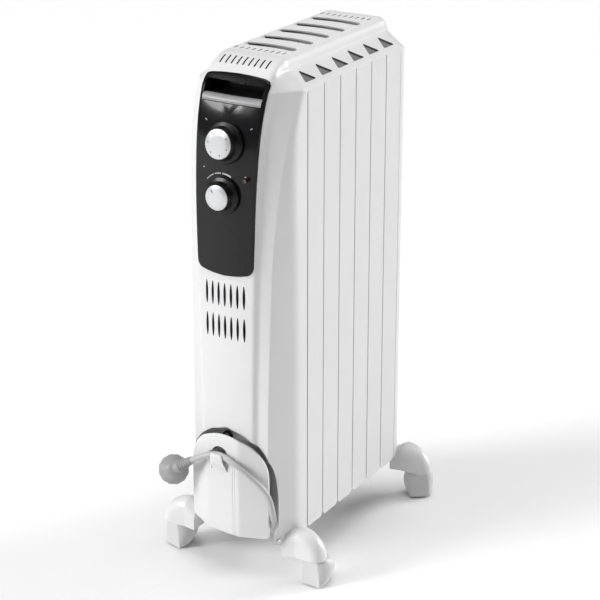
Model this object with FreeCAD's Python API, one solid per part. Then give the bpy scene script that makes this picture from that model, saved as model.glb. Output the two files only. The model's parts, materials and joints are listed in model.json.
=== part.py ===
import FreeCAD, Part
import math
import os

# Oil-filled column heater: six steel fins between a front cover that holds the controls and
# the cord store, and a plain rear cover, on two foot brackets with four castors.
# Parts are drawn with y = 0 at the rear edge of the front cover, front towards -Y, floor at
# z = 0, and are moved along Y by FRONT_SEAM_Y when they are written.

V = FreeCAD.Vector
X_AXIS, Y_AXIS, Z_AXIS = V(1, 0, 0), V(0, 1, 0), V(0, 0, 1)

# ---- driving dimensions, mm ----
FRONT_SEAM_Y = -95.6      # row-frame y of the front cover's rear edge
FIN_COUNT = 6
FIN_PITCH = 37.5
FIN_GAP = 1.6             # open joint between two neighbouring flanges
FIN_HALF = 71.0           # half width over the side flanges
FIN_BASE = 60.0           # lower end of the fins above the floor
SHOULDER_Z = 616.5        # where the side wall turns in
FLANGE_TOP = 616.3        # the top cover's lower edges stand on the side flanges here
CROWN_FOOT = (46.5, 634.0)
CROWN_EDGE = (44.3, 644.3)
CROWN_FLAT = 36.0         # half width of the flat of the crown
CROWN_Z = 650.0
STACK = FIN_COUNT * FIN_PITCH
FLANGE = 1.5              # flange sheet
WEB = 3.0                 # two welded sheets between the oil channels
CHANNEL = (20.0, 12.0)    # width and depth of a pressed oil channel
CHANNEL_X = (-45.0, -15.0, 15.0, 45.0)
HEADER_Z = (95.0, 585.0)  # lower and upper oil headers
HEADER_R = 22.0
HEADER_BORE = 18.0
HUB_HEAD = 6.0            # how far the plugs of the headers stand out at both ends
COVER_WALL = 2.5
TOP_SHEET = 1.5
SLOT_HALF, SLOT_WIDTH = 35.0, 7.0
REAR_DEPTH = 22.0
PANEL_SKIN = 1.6
# centre of a control's front face, and how many degrees it leans back with the panel
THERMOSTAT = (V(0, -79.9, 560.8), 8.0)
POWER = (V(0, -84.8, 498.7), 3.0)
CONTROL_CASE = (25.0, 48.0)   # depth behind the face where a control's case starts and ends
LAMP_R = 2.5
GRIP_HALF, GRIP_LOW, GRIP_HIGH, GRIP_BACK = 39.0, 608.5, 625.0, -18.0
STRAP_Y = -7.5            # front face of the steel strap across the headers
STORE_BACK = -34.0        # rear wall of the cord store
STORE_HALF, STORE_TOP = 59.0, 205.0
PLATE_HALF, PLATE_TOP, PLATE_LOW = 53.5, 201.0, 70.0
PLATE_SKIN = 2.5
PLATE_RIM = 3.5           # how far the plate's edge turns back
PLATE_RIDGE = (22.0, -80.5)   # plan of the plate: middle, ridge and edge
PLATE_EDGE = (60.0, -60.3)
PLATE_MIDDLE_Y = -81.0
CLIP_X = -3.8             # middle of the cord clip
DRUM_LOW, WINDING_LOW = 76.0, 58.0
CORD_D = 7.4
CLAMP_X = 25.0            # half the width of a U-bolt over the lower header
STEM_X, STEM_FRONT_Y = 101.0, -27.0
FOOT_SHIFT = -4.0         # the feet sit this far off the middle, as their clamps allow
LIP_Z = 38.0              # underside of the arm over a castor
ARM_ROOT = (64.0, 17.0, 65.0)   # x, half width and top of the arm where it leaves the body
ARM_BEND = (80.5, 14.0, 74.0)   # the same where it starts to turn down
ARM_SHOULDER = 13.0       # height of the rounded part of its section
FOOT_FLANGE = 10.0
COLLAR_R = 10.5           # top of a castor, in a recess that is RECESS_FIT wider
RECESS_FIT = 1.0
WHEEL_R, WHEEL_WIDTH = 13.5, 13.0
WHEEL_ROOM = 1.0          # clearance round the wheel in its boot
AXLE_Y = 9.0              # trail of the wheel behind the stem
STEM_R, STEM_TOP = 4.0, 61.0
AXLE_R = 2.5
PIN_FIT = 0.05            # radial running clearance

# front cover sections: z, then x, y of face edge, step foot, crease, side bend, and the side's x
SECTIONS = (
    (60.0, 33.8, -66.7, 38.5, -61.8, 51.9, -60.4, -22.5, 71.0),
    (208.0, 33.8, -66.7, 38.5, -61.8, 51.9, -60.4, -22.5, 71.0),
    (380.0, 37.2, -66.7, 42.5, -61.2, 54.8, -55.3, -24.0, 71.0),
    (450.0, 39.0, -66.3, 43.8, -58.8, 57.2, -51.0, -27.0, 71.0),
    (502.0, 40.6, -64.5, 44.8, -55.5, 60.2, -45.2, -29.0, 71.0),
    (550.0, 41.9, -60.0, 46.3, -51.0, 64.0, -37.0, -27.0, 71.0),
    (580.0, 42.7, -54.8, 47.6, -45.5, 66.9, -29.0, -22.0, 71.0),
    (600.0, 43.4, -49.0, 49.0, -40.0, 68.8, -18.0, -13.0, 71.0),
    (616.5, 43.9, -42.5, 50.0, -34.0, 70.0, -9.0, -5.0, 71.0),
    (634.0, 40.0, -32.0, 44.0, -27.0, 46.0, -9.0, -5.0, 46.5),
    (641.0, 38.0, -24.5, 42.0, -20.0, 44.6, -7.0, -4.0, 45.0),
    (646.5, 35.0, -14.0, 39.0, -11.0, 42.1, -4.5, -2.5, 42.5),
    (650.0, 30.0, -3.0, 33.0, -2.5, 35.0, -1.5, -0.8, 36.0),
)
FACE_BULGE = 3.3          # the face stands this much further out at its middle


# ---- small helpers ----
def box(x0, x1, y0, y1, z0, z1):
    return Part.makeBox(x1 - x0, y1 - y0, z1 - z0, V(x0, y0, z0))


def cylinder(radius, length, base, direction):
    return Part.makeCylinder(radius, length, base, direction)


def prism(points, direction):
    """Solid swept from a closed polygon of points along a vector."""
    wire = Part.makePolygon(list(points) + [points[0]])
    return Part.Face(wire).extrude(direction)


def mirrored(points):
    """Outline of (x, z) pairs given for x > 0 from bottom to top, closed over x < 0."""
    return list(points) + [(-x, z) for x, z in reversed(points)]


def union(shapes):
    first, rest = shapes[0], shapes[1:]
    return first.fuse(rest).removeSplitter() if rest else first


def cut_all(shape, tools):
    return shape.cut(Part.Compound(tools)) if tools else shape


def only_solid(shape):
    """The largest solid of a boolean's result."""
    return max(shape.Solids, key=lambda solid: solid.Volume)


def write(name, shape):
    moved = shape.copy()
    moved.translate(V(0, FRONT_SEAM_Y, 0))
    moved.exportStep(os.path.join("parts", name + ".step"))
    box_ = moved.BoundBox
    print("%-26s solids %2d  vol %9.0f  x %7.1f %7.1f  y %7.1f %7.1f  z %6.1f %6.1f  %s" % (
        name, len(moved.Solids), moved.Volume, box_.XMin, box_.XMax, box_.YMin, box_.YMax,
        box_.ZMin, box_.ZMax, "ok" if moved.isValid() else "INVALID"))


# ---- fins ----
def fin_outline(inset):
    foot_x, foot_z = CROWN_FOOT
    edge_x, edge_z = CROWN_EDGE
    return mirrored([
        (FIN_HALF - inset, FIN_BASE),
        (FIN_HALF - inset, SHOULDER_Z - inset * 0.4),
        (foot_x - inset, foot_z - inset * 0.8),
        (edge_x - inset, edge_z - inset),
        (CROWN_FLAT - inset, CROWN_Z - inset)])


def side_flange(side, y_mid):
    half = (FIN_PITCH - FIN_GAP) / 2
    corner = 4.0
    x_in = side * (FIN_HALF - FLANGE)
    y0, y1 = y_mid - half, y_mid + half
    outline = [V(x_in, y0, FIN_BASE + corner), V(x_in, y0 + corner, FIN_BASE),
               V(x_in, y1 - corner, FIN_BASE), V(x_in, y1, FIN_BASE + corner),
               V(x_in, y1, FLANGE_TOP), V(x_in, y0, FLANGE_TOP)]
    return prism(outline, V(side * FLANGE, 0, 0))


def fin(index):
    """One oil-filled element: welded web, pressed channels, header hubs and side flanges."""
    y_mid = (index + 0.5) * FIN_PITCH
    edge = FIN_HALF - FLANGE + 0.2
    outline = [(edge, FIN_BASE), (edge, SHOULDER_Z - 6), (FIN_HALF - 4, SHOULDER_Z - 2)]
    outline += [(x - 0.5, z - 0.5) for x, z in crown_path(TOP_SHEET)[1:]]
    pieces = [prism([V(x, y_mid - WEB / 2, z) for x, z in mirrored(outline)], V(0, WEB, 0))]
    width, depth = CHANNEL
    for x in CHANNEL_X:
        channel = box(x - width / 2, x + width / 2, y_mid - depth / 2, y_mid + depth / 2,
                      HEADER_Z[0], HEADER_Z[1])
        pieces.append(channel.makeFillet(4.0, [e for e in channel.Edges if abs(e.Length - (
            HEADER_Z[1] - HEADER_Z[0])) < 0.01]))
    for z in HEADER_Z:
        pieces.append(box(-60, 60, y_mid - 7, y_mid + 7, z - 16, z + 16))
        pieces.append(cylinder(HEADER_R, FIN_PITCH, V(0, y_mid - FIN_PITCH / 2, z), Y_AXIS))
    pieces += [side_flange(side, y_mid) for side in (-1, 1)]
    body = union(pieces)
    bores = [cylinder(HEADER_BORE, FIN_PITCH + 2, V(0, y_mid - FIN_PITCH / 2 - 1, z), Y_AXIS)
             for z in HEADER_Z]
    return cut_all(body, bores)


# ---- top cover ----
def crown_path(inset):
    """Right half of the top outline, from the shoulder to the crown, as (x, z)."""
    foot_x, foot_z = CROWN_FOOT
    edge_x, edge_z = CROWN_EDGE
    return [(FIN_HALF - inset, SHOULDER_Z - inset * 0.6), (foot_x - inset, foot_z - inset),
            (edge_x - inset, edge_z - inset * 0.6), (edge_x - 3 - inset * 0.7, CROWN_Z - 2 - inset),
            (CROWN_FLAT - inset, CROWN_Z - inset)]


def crown_slots():
    """Five slots, one over each joint between two fins."""
    tools = []
    end = SLOT_HALF - SLOT_WIDTH / 2
    for k in range(1, FIN_COUNT):
        y = k * FIN_PITCH
        tools.append(box(-end, end, y - SLOT_WIDTH / 2, y + SLOT_WIDTH / 2, 640, 655))
        tools += [cylinder(SLOT_WIDTH / 2, 15, V(x, y, 640), Z_AXIS) for x in (-end, end)]
    return tools


def slit_row(y0, y1, z0, z1, width=2.2, count=9, pitch=8.2):
    """A row of narrow slits across the crown."""
    first = -(count - 1) / 2 * pitch
    return [box(first + i * pitch - width / 2, first + i * pitch + width / 2, y0, y1, z0, z1)
            for i in range(count)]


def chimney_holes():
    """A triangular outlet over each fin, on both shoulders."""
    tools = []
    for k in range(FIN_COUNT):
        y = 25.5 + k * FIN_PITCH
        for side in (-1, 1):
            points = [V(side * 52.5, y - 4.5, 600), V(side * 63.5, y + 10, 600),
                      V(side * 63.5, y - 10, 600)]
            tools.append(prism(points, V(0, 0, 45)))
    return tools


def top_cover():
    outer = crown_path(0)
    inner = crown_path(TOP_SHEET)
    inner[0] = (FIN_HALF - 2.6, FLANGE_TOP)
    outer[0] = (FIN_HALF, FLANGE_TOP)
    half = outer + [(-x, z) for x, z in reversed(outer)]
    back = inner + [(-x, z) for x, z in reversed(inner)]
    ring = half + list(reversed(back))
    sheet = prism([V(x, 0, z) for x, z in ring], V(0, STACK, 0))
    tools = crown_slots() + chimney_holes()
    tools += slit_row(8, 16, 640, 655) + slit_row(STACK - 16, STACK - 8, 640, 655)
    return cut_all(sheet, tools)


# ---- front cover ----
def section_wire(row, inset, back):
    """One horizontal section of the front cover; inset moves it inwards on every side."""
    z, x0, y0, x1, y1, x2, y2, y3, xs = row
    right = [(xs, back), (xs, y3), (x2, y2), (x1, y1), (x0, y0)]
    right = [(x - inset, y + (inset if i > 1 else 0)) for i, (x, y) in enumerate(right)]
    bulge = min(FACE_BULGE, 0.4 - y0 * 0.05)
    points = right + [(0, y0 - bulge + inset)] + [(-x, y) for x, y in reversed(right)]
    return Part.makePolygon([V(x, y, z) for x, y in points + points[:1]])


def cover_solid(inset, back):
    """The front cover's full volume, back to the plane y = back."""
    rows = list(SECTIONS)
    if inset:
        rows[0] = (rows[0][0] - 5,) + rows[0][1:]
        rows = [(row[0] - (inset if row[0] > 600 else 0),) + row[1:] for row in rows]
    shoulder = [row[0] for row in SECTIONS].index(SHOULDER_Z)
    lower = [section_wire(row, inset, back) for row in rows[:shoulder + 1]]
    upper = [section_wire(row, inset, back) for row in rows[shoulder:]]
    low = Part.makeLoft(lower, True, True)
    high = Part.makeLoft(upper, True, True)
    return only_solid(low.fuse(high))


def front_vents():
    """Two rows of seven upright slots below the control panel."""
    tools = []
    for low, high in ((362.0, 390.0), (321.5, 349.5)):
        for i in range(7):
            x = (i - 3) * 8.5
            tools.append(box(x - 1.4, x + 1.4, -80, -55, low + 1.4, high - 1.4))
            tools += [cylinder(1.4, 25, V(x, -80, z), Y_AXIS) for z in (low + 1.4, high - 1.4)]
    return tools


def arch(half, top, low, y0, y1):
    """Upright arch-topped block, used for the cord store, its plate and its drum."""
    spring = top - half
    edges = [Part.LineSegment(V(-half, y0, low), V(-half, y0, spring)).toShape(),
             Part.Arc(V(-half, y0, spring), V(0, y0, top), V(half, y0, spring)).toShape(),
             Part.LineSegment(V(half, y0, spring), V(half, y0, low)).toShape(),
             Part.LineSegment(V(half, y0, low), V(-half, y0, low)).toShape()]
    return Part.Face(Part.Wire(edges)).extrude(V(0, y1 - y0, 0))


def place_control(shape, control):
    """From the control's own frame (front face at the origin, +Y inwards) to its place."""
    face, lean = control
    placed = shape.copy()
    placed.rotate(V(0, 0, 0), X_AXIS, -lean)
    placed.translate(face)
    return placed


def control_holes(radius):
    return [place_control(cylinder(radius, 45, V(0, 0, 0), Y_AXIS), control)
            for control in (THERMOSTAT, POWER)]


def grip_block(grow, y0):
    return box(-GRIP_HALF - grow, GRIP_HALF + grow, y0, GRIP_BACK + grow,
               GRIP_LOW - grow, GRIP_HIGH + grow)


def bottom_wedge():
    """What is cut away so that the cover's lower edge rises towards the front."""
    points = [V(-90, -90, 50), V(-90, -90, 69), V(-90, 1, 60), V(-90, 1, 50)]
    return prism(points, V(180, 0, 0))


def side_plane(z):
    """A point at the crease of the cover's right side face, and the face's direction."""
    crease, side = V(SECTIONS[0][5], SECTIONS[0][6], z), V(FIN_HALF, SECTIONS[0][7], z)
    return crease, (side - crease).normalize()


def cover_ears():
    """Tabs at the lower corners that take the cover's two screws."""
    points = []
    for x, z in ((53.5, 70.0), (53.5, 60.0), (56.0, 55.0), (60.0, 51.5), (63.0, 54.5), (63.0, 70.0)):
        crease, along = side_plane(z)
        points.append(crease + along * ((x - crease.x) / along.x))
    along = side_plane(0)[1]
    right = prism(points, V(-along.y, along.x, 0) * COVER_WALL)
    return [right, right.mirror(V(0, 0, 0), X_AXIS)]


def front_cover(outer):
    shell = outer.cut(cover_solid(COVER_WALL, 2.0)).cut(bottom_wedge())
    shell = union([only_solid(shell)] + cover_ears())
    store = arch(STORE_HALF, STORE_TOP, 50, -90, STORE_BACK)
    tools = front_vents() + slit_row(-30, -15, 630, 655) + control_holes(6.0)
    tools += [store, grip_block(2.0, -90), pilot_lamp(LAMP_R)] + front_screws()
    return only_solid(cut_all(shell, tools))


# ---- control panel and what sits on it ----
def panel_outline():
    points = [V(34.0, 0, 403.0), V(38.3, 0, 409.0), V(44.2, 0, 622.0), V(40.5, 0, 629.5)]
    left = [V(-p.x, 0, p.z) for p in reversed(points)]
    top = Part.Arc(points[3], V(0, 0, 634.5), left[0]).toShape()
    low = Part.Arc(left[3], V(0, 0, 399.5), points[0]).toShape()
    sides = [Part.LineSegment(a, b).toShape() for chain in (points, left)
             for a, b in zip(chain, chain[1:])]
    wire = Part.Wire(Part.__sortEdges__(sides + [top, low]))
    return Part.Face(wire)


def control_panel(outer):
    face = panel_outline()
    face.translate(V(0, -90, 0))
    block = face.extrude(V(0, 70, 0))
    proud = outer.copy()
    proud.translate(V(0, -PANEL_SKIN, 0.7))
    skin = proud.common(block).cut(outer)
    tools = control_holes(6.0) + [grip_block(2.0, -90), pilot_lamp(LAMP_R)]
    return only_solid(cut_all(skin, tools))


def handle_cup(outer):
    """Moulded pocket behind the panel: the finger grip the heater is pulled by."""
    proud = outer.copy()
    proud.translate(V(0, -PANEL_SKIN, 0.7))
    block = grip_block(2.0, -90).common(proud)
    return only_solid(block.cut(grip_block(0, -90)))


def pilot_lamp(radius):
    return cylinder(radius, 14, V(30.5, -72.5, 520.0), Y_AXIS)


def knob(cap_r, skirt_r, depth):
    """Black grip with a wide skirt against the panel; the cap closes its front."""
    profile = [V(0, 1.2, 0), V(cap_r + 0.2, 1.2, 0), V(cap_r + 0.8, 2.2, 0),
               V(cap_r + 1.8, depth - 6.5, 0), V(skirt_r - 1, depth - 5.0, 0),
               V(skirt_r, depth - 3.5, 0), V(skirt_r, depth, 0), V(0, depth, 0)]
    body = Part.Face(Part.makePolygon(profile + profile[:1])).revolve(V(0, 0, 0), Y_AXIS, 360)
    return body.cut(cylinder(3.0, depth, V(0, 4, 0), Y_AXIS))


def knob_cap(cap_r):
    profile = [V(0, -0.4, 0), V(cap_r - 2.0, 0, 0), V(cap_r, 1.2, 0), V(0, 1.2, 0)]
    return Part.Face(Part.makePolygon(profile + profile[:1])).revolve(V(0, 0, 0), Y_AXIS, 360)


def spindle(length):
    return cylinder(3.0, length, V(0, 4, 0), Y_AXIS)


def control_body(half_x, half_z):
    """Switch or thermostat case with the spindle's bush, behind the cover."""
    y0, y1 = CONTROL_CASE
    case = box(-half_x, half_x, y0, y1, -half_z, half_z)
    bush = cylinder(5.0, 3.0, V(0, y0 - 3, 0), Y_AXIS)
    return case.fuse(bush).cut(cylinder(3.0 + PIN_FIT, 14, V(0, y0 - 4, 0), Y_AXIS))


def control_bracket():
    """Steel plates behind both controls, on two legs that stand on the hub strap."""
    back, half = CONTROL_CASE[1], 20.0
    plates = [place_control(box(-half, half, back, back + 1.5, -18, 18), control)
              for control in (THERMOSTAT, POWER)]
    rear = [place_control(Part.Vertex(V(0, back + 0.5, z)), control).Point
            for control in (THERMOSTAT, POWER) for z in (18, -18)]
    profile = [V(0, STRAP_Y, rear[0].z)] + rear + [V(0, STRAP_Y, rear[-1].z)]
    legs = [prism([V(x, p.y, p.z) for p in profile], V(1.5, 0, 0)) for x in (-half, half - 1.5)]
    return union(plates + legs)


# ---- what closes the oil headers ----
def header_plugs():
    """Welded end plugs: rear of both headers and front of the upper one."""
    ends = [(HEADER_Z[0], STACK, 1), (HEADER_Z[1], STACK, 1), (HEADER_Z[1], 0.0, -1)]
    plugs = []
    for z, y, out in ends:
        head = cylinder(HEADER_R, HUB_HEAD, V(0, y, z), V(0, out, 0))
        spigot = cylinder(HEADER_BORE, 8, V(0, y, z), V(0, -out, 0))
        plugs.append(head.fuse(spigot))
    return Part.Compound(plugs)


def hub_strap():
    """Flat steel strap across the front ends of both headers; the controls stand on it."""
    strap = box(-20, 20, STRAP_Y, -HUB_HEAD, HEADER_Z[0] - 18, HEADER_Z[1] + 18)
    return cut_all(strap, [cylinder(13.0, 10, V(0, -10, HEADER_Z[0]), Y_AXIS)])


def element_flange():
    """Brass plug of the heating element, with its hexagon and the terminal boss."""
    z = HEADER_Z[0]
    disc = cylinder(HEADER_R - 1, 4, V(0, -6, z), Y_AXIS)
    spigot = cylinder(HEADER_BORE, 10, V(0, 0, z), Y_AXIS)
    neck = cylinder(HEADER_BORE, 2.1, V(0, -2, z), Y_AXIS)
    corners = [V(15 * math.cos(math.radians(a)), -6, z + 15 * math.sin(math.radians(a)))
               for a in range(0, 360, 60)]
    hexagon = prism(corners, V(0, -8, 0))
    body = union([disc, neck, spigot, hexagon.common(cylinder(12.6, 20, V(0, -20, z), Y_AXIS))])
    holes = [cylinder(4.0, 40, V(x, -20, z), Y_AXIS) for x in (-8, 8)]
    return cut_all(body, holes)


def element_gasket():
    ring = cylinder(HEADER_R - 1, 2, V(0, -2, HEADER_Z[0]), Y_AXIS)
    return ring.cut(cylinder(HEADER_BORE, 4, V(0, -3, HEADER_Z[0]), Y_AXIS))


def heating_element():
    """Hairpin sheathed heater lying in the lower header, sealed in the brass plug."""
    z, reach, half = HEADER_Z[0], 188.0, 8.0
    path = Part.Wire([
        Part.LineSegment(V(-half, -19, z), V(-half, reach, z)).toShape(),
        Part.Arc(V(-half, reach, z), V(0, reach + half, z), V(half, reach, z)).toShape(),
        Part.LineSegment(V(half, reach, z), V(half, -19, z)).toShape()])
    section = Part.Wire(Part.makeCircle(4.0, V(-half, -19, z), Y_AXIS))
    return path.makePipeShell([section], True, False)


def filler_plug():
    """Small hexagon screw that closes the oil filling hole in the upper rear plug."""
    corners = [V(5 * math.cos(math.radians(a)), STACK + HUB_HEAD,
                 HEADER_Z[1] + 5 * math.sin(math.radians(a))) for a in range(0, 360, 60)]
    return prism(corners, V(0, 3, 0))


# ---- cut-out, terminals and wires inside the front cover ----
def thermal_cutout():
    disc = cylinder(9, 9, V(0, STRAP_Y - 9, 300), Y_AXIS)
    ears = box(-15, 15, STRAP_Y - 1.5, STRAP_Y, 295, 305)
    tabs = [box(x - 3, x + 3, -22, -16.5, 299.6, 300.4) for x in (-5, 5)]
    return union([disc, ears] + tabs)


def terminal_block():
    body = box(-22, 22, -24, STRAP_Y, 238, 256)
    screws = [cylinder(3, 8, V(x, -24.5, 247), Y_AXIS) for x in (-15, -5, 5, 15)]
    return cut_all(body, screws)


def bent_wire(points, radius, bend):
    """Round wire along straight runs joined by tangent arcs of one radius."""
    path = rounded_path(points, lambda turn, shorter: bend)[0]
    section = Part.Wire(Part.makeCircle(radius, points[0], points[1] - points[0]))
    return Part.Wire(path).makePipeShell([section], True, False)


def rounded_path(points, radius_rule):
    """Edges of straight runs joined by tangent arcs, and the arc radii."""
    edges, radii, start = [], [], points[0]
    for before, corner, after in zip(points, points[1:], points[2:]):
        into, out = (corner - before), (after - corner)
        shorter = min(into.Length, out.Length)
        into.normalize()
        out.normalize()
        turn = into.getAngle(out)
        radius = radius_rule(turn, shorter)
        setback = radius * math.tan(turn / 2)
        first, last = corner - into * setback, corner + out * setback
        inward = (out - into).normalize()
        middle = corner + inward * (radius / math.cos(turn / 2) - radius)
        edges.append(Part.LineSegment(start, first).toShape())
        edges.append(Part.Arc(first, middle, last).toShape())
        radii.append(radius)
        start = last
    edges.append(Part.LineSegment(start, points[-1]).toShape())
    return edges, radii


def wiring():
    """Insulated wires: terminals to thermostat, switch, cut-out and heating element."""
    top, bottom, lower = 256, 238, HEADER_Z[0]
    runs = [
        [V(-15, -20, top), V(-15, -25, 320), V(-26, -36, 410), V(-26, -42, 510), V(-13, -44, 546.5)],
        [V(-5, -20, top), V(-6, -27, 320), V(9, -40, 410), V(8, -48, 484)],
        [V(5, -20, top), V(4, -22, 278), V(5, -20, 299.6)],
        [V(-15, -20, bottom), V(-16, -25, 190), V(-8, -28, 120), V(-8, -27, lower), V(-8, -19, lower)],
        [V(15, -20, bottom), V(16, -25, 190), V(8, -28, 120), V(8, -27, lower), V(8, -19, lower)]]
    return Part.Compound([bent_wire(run, 1.4, 4.0) for run in runs])


# ---- cord store ----
def cord_tray(outer):
    """Arch-topped recess of the cord store, moulded apart and set in the front cover."""
    room = arch(STORE_HALF, STORE_TOP, 62, -90, STORE_BACK).common(outer)
    hollow = arch(STORE_HALF - 2, STORE_TOP - 2, 50, -90, STORE_BACK - 2)
    tray = cut_all(room, [hollow, bottom_wedge(), cord_exit(4.6)] + front_screws())
    return only_solid(tray)


def cord_exit(radius):
    return cylinder(radius, 12, V(-20, STORE_BACK - 6, 178), Y_AXIS)


def cord_grommet():
    """Rubber bush in the recess's rear wall where the mains cord comes out."""
    y = STORE_BACK
    body = union([cylinder(4.6, 2.0, V(-20, y - 2, 178), Y_AXIS),
                  cylinder(6.5, 1.8, V(-20, y - 3.8, 178), Y_AXIS),
                  cylinder(6.5, 1.8, V(-20, y, 178), Y_AXIS)])
    return body.cut(cylinder(CORD_D / 2, 10, V(-20, y - 5, 178), Y_AXIS))


def cord_drum():
    """Hollow arch-shaped former that the cord is wound on, open to the front."""
    drum = arch(30, 166, DRUM_LOW, -90, STORE_BACK - 2).common(plate_surface(PLATE_SKIN))
    return drum.cut(arch(27, 163, DRUM_LOW + 3, -90, STORE_BACK - 5))


def plate_surface(depth):
    """Block under the plate's front: flat middle between two ridges, then a facet each side."""
    (ridge_x, ridge_y), (edge_x, edge_y) = PLATE_RIDGE, PLATE_EDGE
    slant = math.hypot(edge_x - ridge_x, edge_y - ridge_y) / (edge_x - ridge_x)
    back = STORE_BACK - 2
    right = [V(edge_x, back, 0), V(edge_x, edge_y + depth * slant, 0), V(ridge_x, ridge_y + depth, 0)]
    left = [V(-p.x, p.y, 0) for p in reversed(right)]
    return prism(right + [V(0, PLATE_MIDDLE_Y + depth, 0)] + left, V(0, 0, 260))


def wrap_plate():
    """Arch-topped front plate of the cord store, its edge turned back, open behind the clip."""
    block = plate_surface(0)
    outline = arch(PLATE_HALF, PLATE_TOP, PLATE_LOW, -90, -50)
    skin = block.cut(plate_surface(PLATE_SKIN)).common(outline)
    inner = arch(PLATE_HALF - PLATE_SKIN, PLATE_TOP - PLATE_SKIN, PLATE_LOW - 9, -95, -40)
    rim = block.cut(plate_surface(PLATE_RIM)).common(outline).cut(inner)
    opening = box(CLIP_X - 15, CLIP_X + 15, -90, -60, 168, 178)
    opening = opening.fuse(cylinder(12, 30, V(CLIP_X, -90, 173), Y_AXIS))
    slits = [box(x - 0.7, x + 0.7, -90, -60, 154, 168) for x in (CLIP_X - 11.3, CLIP_X + 11.3)]
    opening = opening.cut(box(-20, 20, -90, -60, 150, 168))
    return only_solid(cut_all(union([skin, rim]), [opening] + slits))


def clip_tongue():
    """Springy tongue that stands off the plate, so that the cord is held behind it."""
    profile = [(-80.0, 153.5), (-83.8, 157.0), (-88.3, 165.5), (-89.0, 176.0),
               (-87.6, 176.0), (-87.1, 168.5), (-83.1, 163.0), (-80.0, 161.5)]
    tongue = prism([V(CLIP_X - 8, y, z) for y, z in profile], V(16, 0, 0))
    return tongue.cut(plate_surface(0))


# ---- cord, wound store and plug ----
def cord_winding():
    """Outer shape of four turns on the drum, two side by side in two layers, and their lead."""
    turns = arch(47, 183.5, WINDING_LOW, -58.5, -42.5)
    turns = turns.cut(arch(31, 167.5, DRUM_LOW - 1.5, -60, -40))
    return turns.fuse(cylinder(CORD_D / 2, 8, V(-20, -44, 178), Y_AXIS))


CORD_TAIL = [
    V(43.5, -50.5, 72.0), V(50.5, -52.6, 81.0), V(57.6, -56.6, 90.5), V(60.0, -63.0, 101.5),
    V(60.4, -66.6, 113.5), V(58.8, -69.4, 125.5), V(53.0, -72.0, 136.5), V(43.5, -76.4, 148.0),
    V(29.5, -83.6, 162.8), V(14.5, -86.0, 172.2), V(-4.0, -81.7, 175.9), V(-20.0, -85.7, 171.3),
    V(-31.0, -87.0, 165.8), V(-40.5, -87.4, 160.0)]
PLUG_RELIEF = V(0.802, -0.107, 0.588)
PLUG_PINS = V(-0.55, 0.72, -0.42)
PLUG_REACH = 35.0


def cord_tail():
    def rule(turn, shorter):
        return 0.45 * shorter / math.tan(turn / 2)
    edges, radii = rounded_path(CORD_TAIL, rule)
    length = sum(edge.Length for edge in edges)
    section = Part.Wire(Part.makeCircle(CORD_D / 2, CORD_TAIL[0], CORD_TAIL[1] - CORD_TAIL[0]))
    tube = Part.Wire(edges).makePipeShell([section], True, True)
    print("cord tail: length %.1f, radii %s" % (length, " ".join("%.0f" % r for r in radii)))
    print("cord tail: volume %.0f, section x length %.0f" % (
        tube.Volume, math.pi * CORD_D ** 2 / 4 * length))
    return tube


def plug_centre():
    return CORD_TAIL[-1] - V(PLUG_RELIEF).normalize() * PLUG_REACH


def plug_body():
    """Moulded two-pin plug: round head on the pin side, cord entry at an angle."""
    centre, pins = plug_centre(), V(PLUG_PINS).normalize()
    relief = V(PLUG_RELIEF).normalize()
    head = cylinder(18.5, 12, centre, pins)
    dome = Part.makeCone(18.5, 12, 8, centre, pins * -1)
    neck = Part.makeCone(10, 4.6, PLUG_REACH, centre - pins * 1.0, relief)
    return union([head, dome, neck])


def plug_pins():
    centre, pins = plug_centre(), V(PLUG_PINS).normalize()
    across = pins.cross(Z_AXIS).normalize()
    start = centre + pins * 12
    return Part.Compound([cylinder(2.4, 19, start + across * x, pins) for x in (-9.5, 9.5)])


# ---- rear cover ----
def outline_wire(y, inset):
    points = fin_outline(inset)
    return Part.makePolygon([V(x, y, z) for x, z in points + points[:1]])


def rear_block(inset):
    rows = [(0, 0), (REAR_DEPTH * 0.55, 3.0), (REAR_DEPTH * 0.9, 9.0), (REAR_DEPTH, 14.0)]
    wires = []
    for i, (y, narrow) in enumerate(rows):
        wires.append(outline_wire(STACK + y - (inset if i else 1.0 if inset else 0), narrow + inset))
    return Part.makeLoft(wires, True, True)


def rear_cover():
    shell = rear_block(0).cut(rear_block(COVER_WALL))
    opening = box(-FIN_HALF + 2.5, FIN_HALF - 2.5, STACK - 1, STACK + 12, FIN_BASE - 1, FIN_BASE + 3)
    tools = [opening] + rear_screws()
    for low in (470.0, 510.0, 550.0):
        for i in range(7):
            x = (i - 3) * 12
            tools.append(box(x - 1.6, x + 1.6, STACK, STACK + 40, low, low + 28))
    return only_solid(cut_all(shell, tools))


# ---- feet ----
def arm_section(x, half, high):
    """Arch-shaped section of an arm in the plane of constant x."""
    y, low, spring = STEM_FRONT_Y, LIP_Z, high - ARM_SHOULDER
    return Part.Wire([
        Part.LineSegment(V(x, y - half, low), V(x, y - half, spring)).toShape(),
        Part.Arc(V(x, y - half, spring), V(x, y, high), V(x, y + half, spring)).toShape(),
        Part.LineSegment(V(x, y + half, spring), V(x, y + half, low)).toShape(),
        Part.LineSegment(V(x, y + half, low), V(x, y - half, low)).toShape()])


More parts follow.
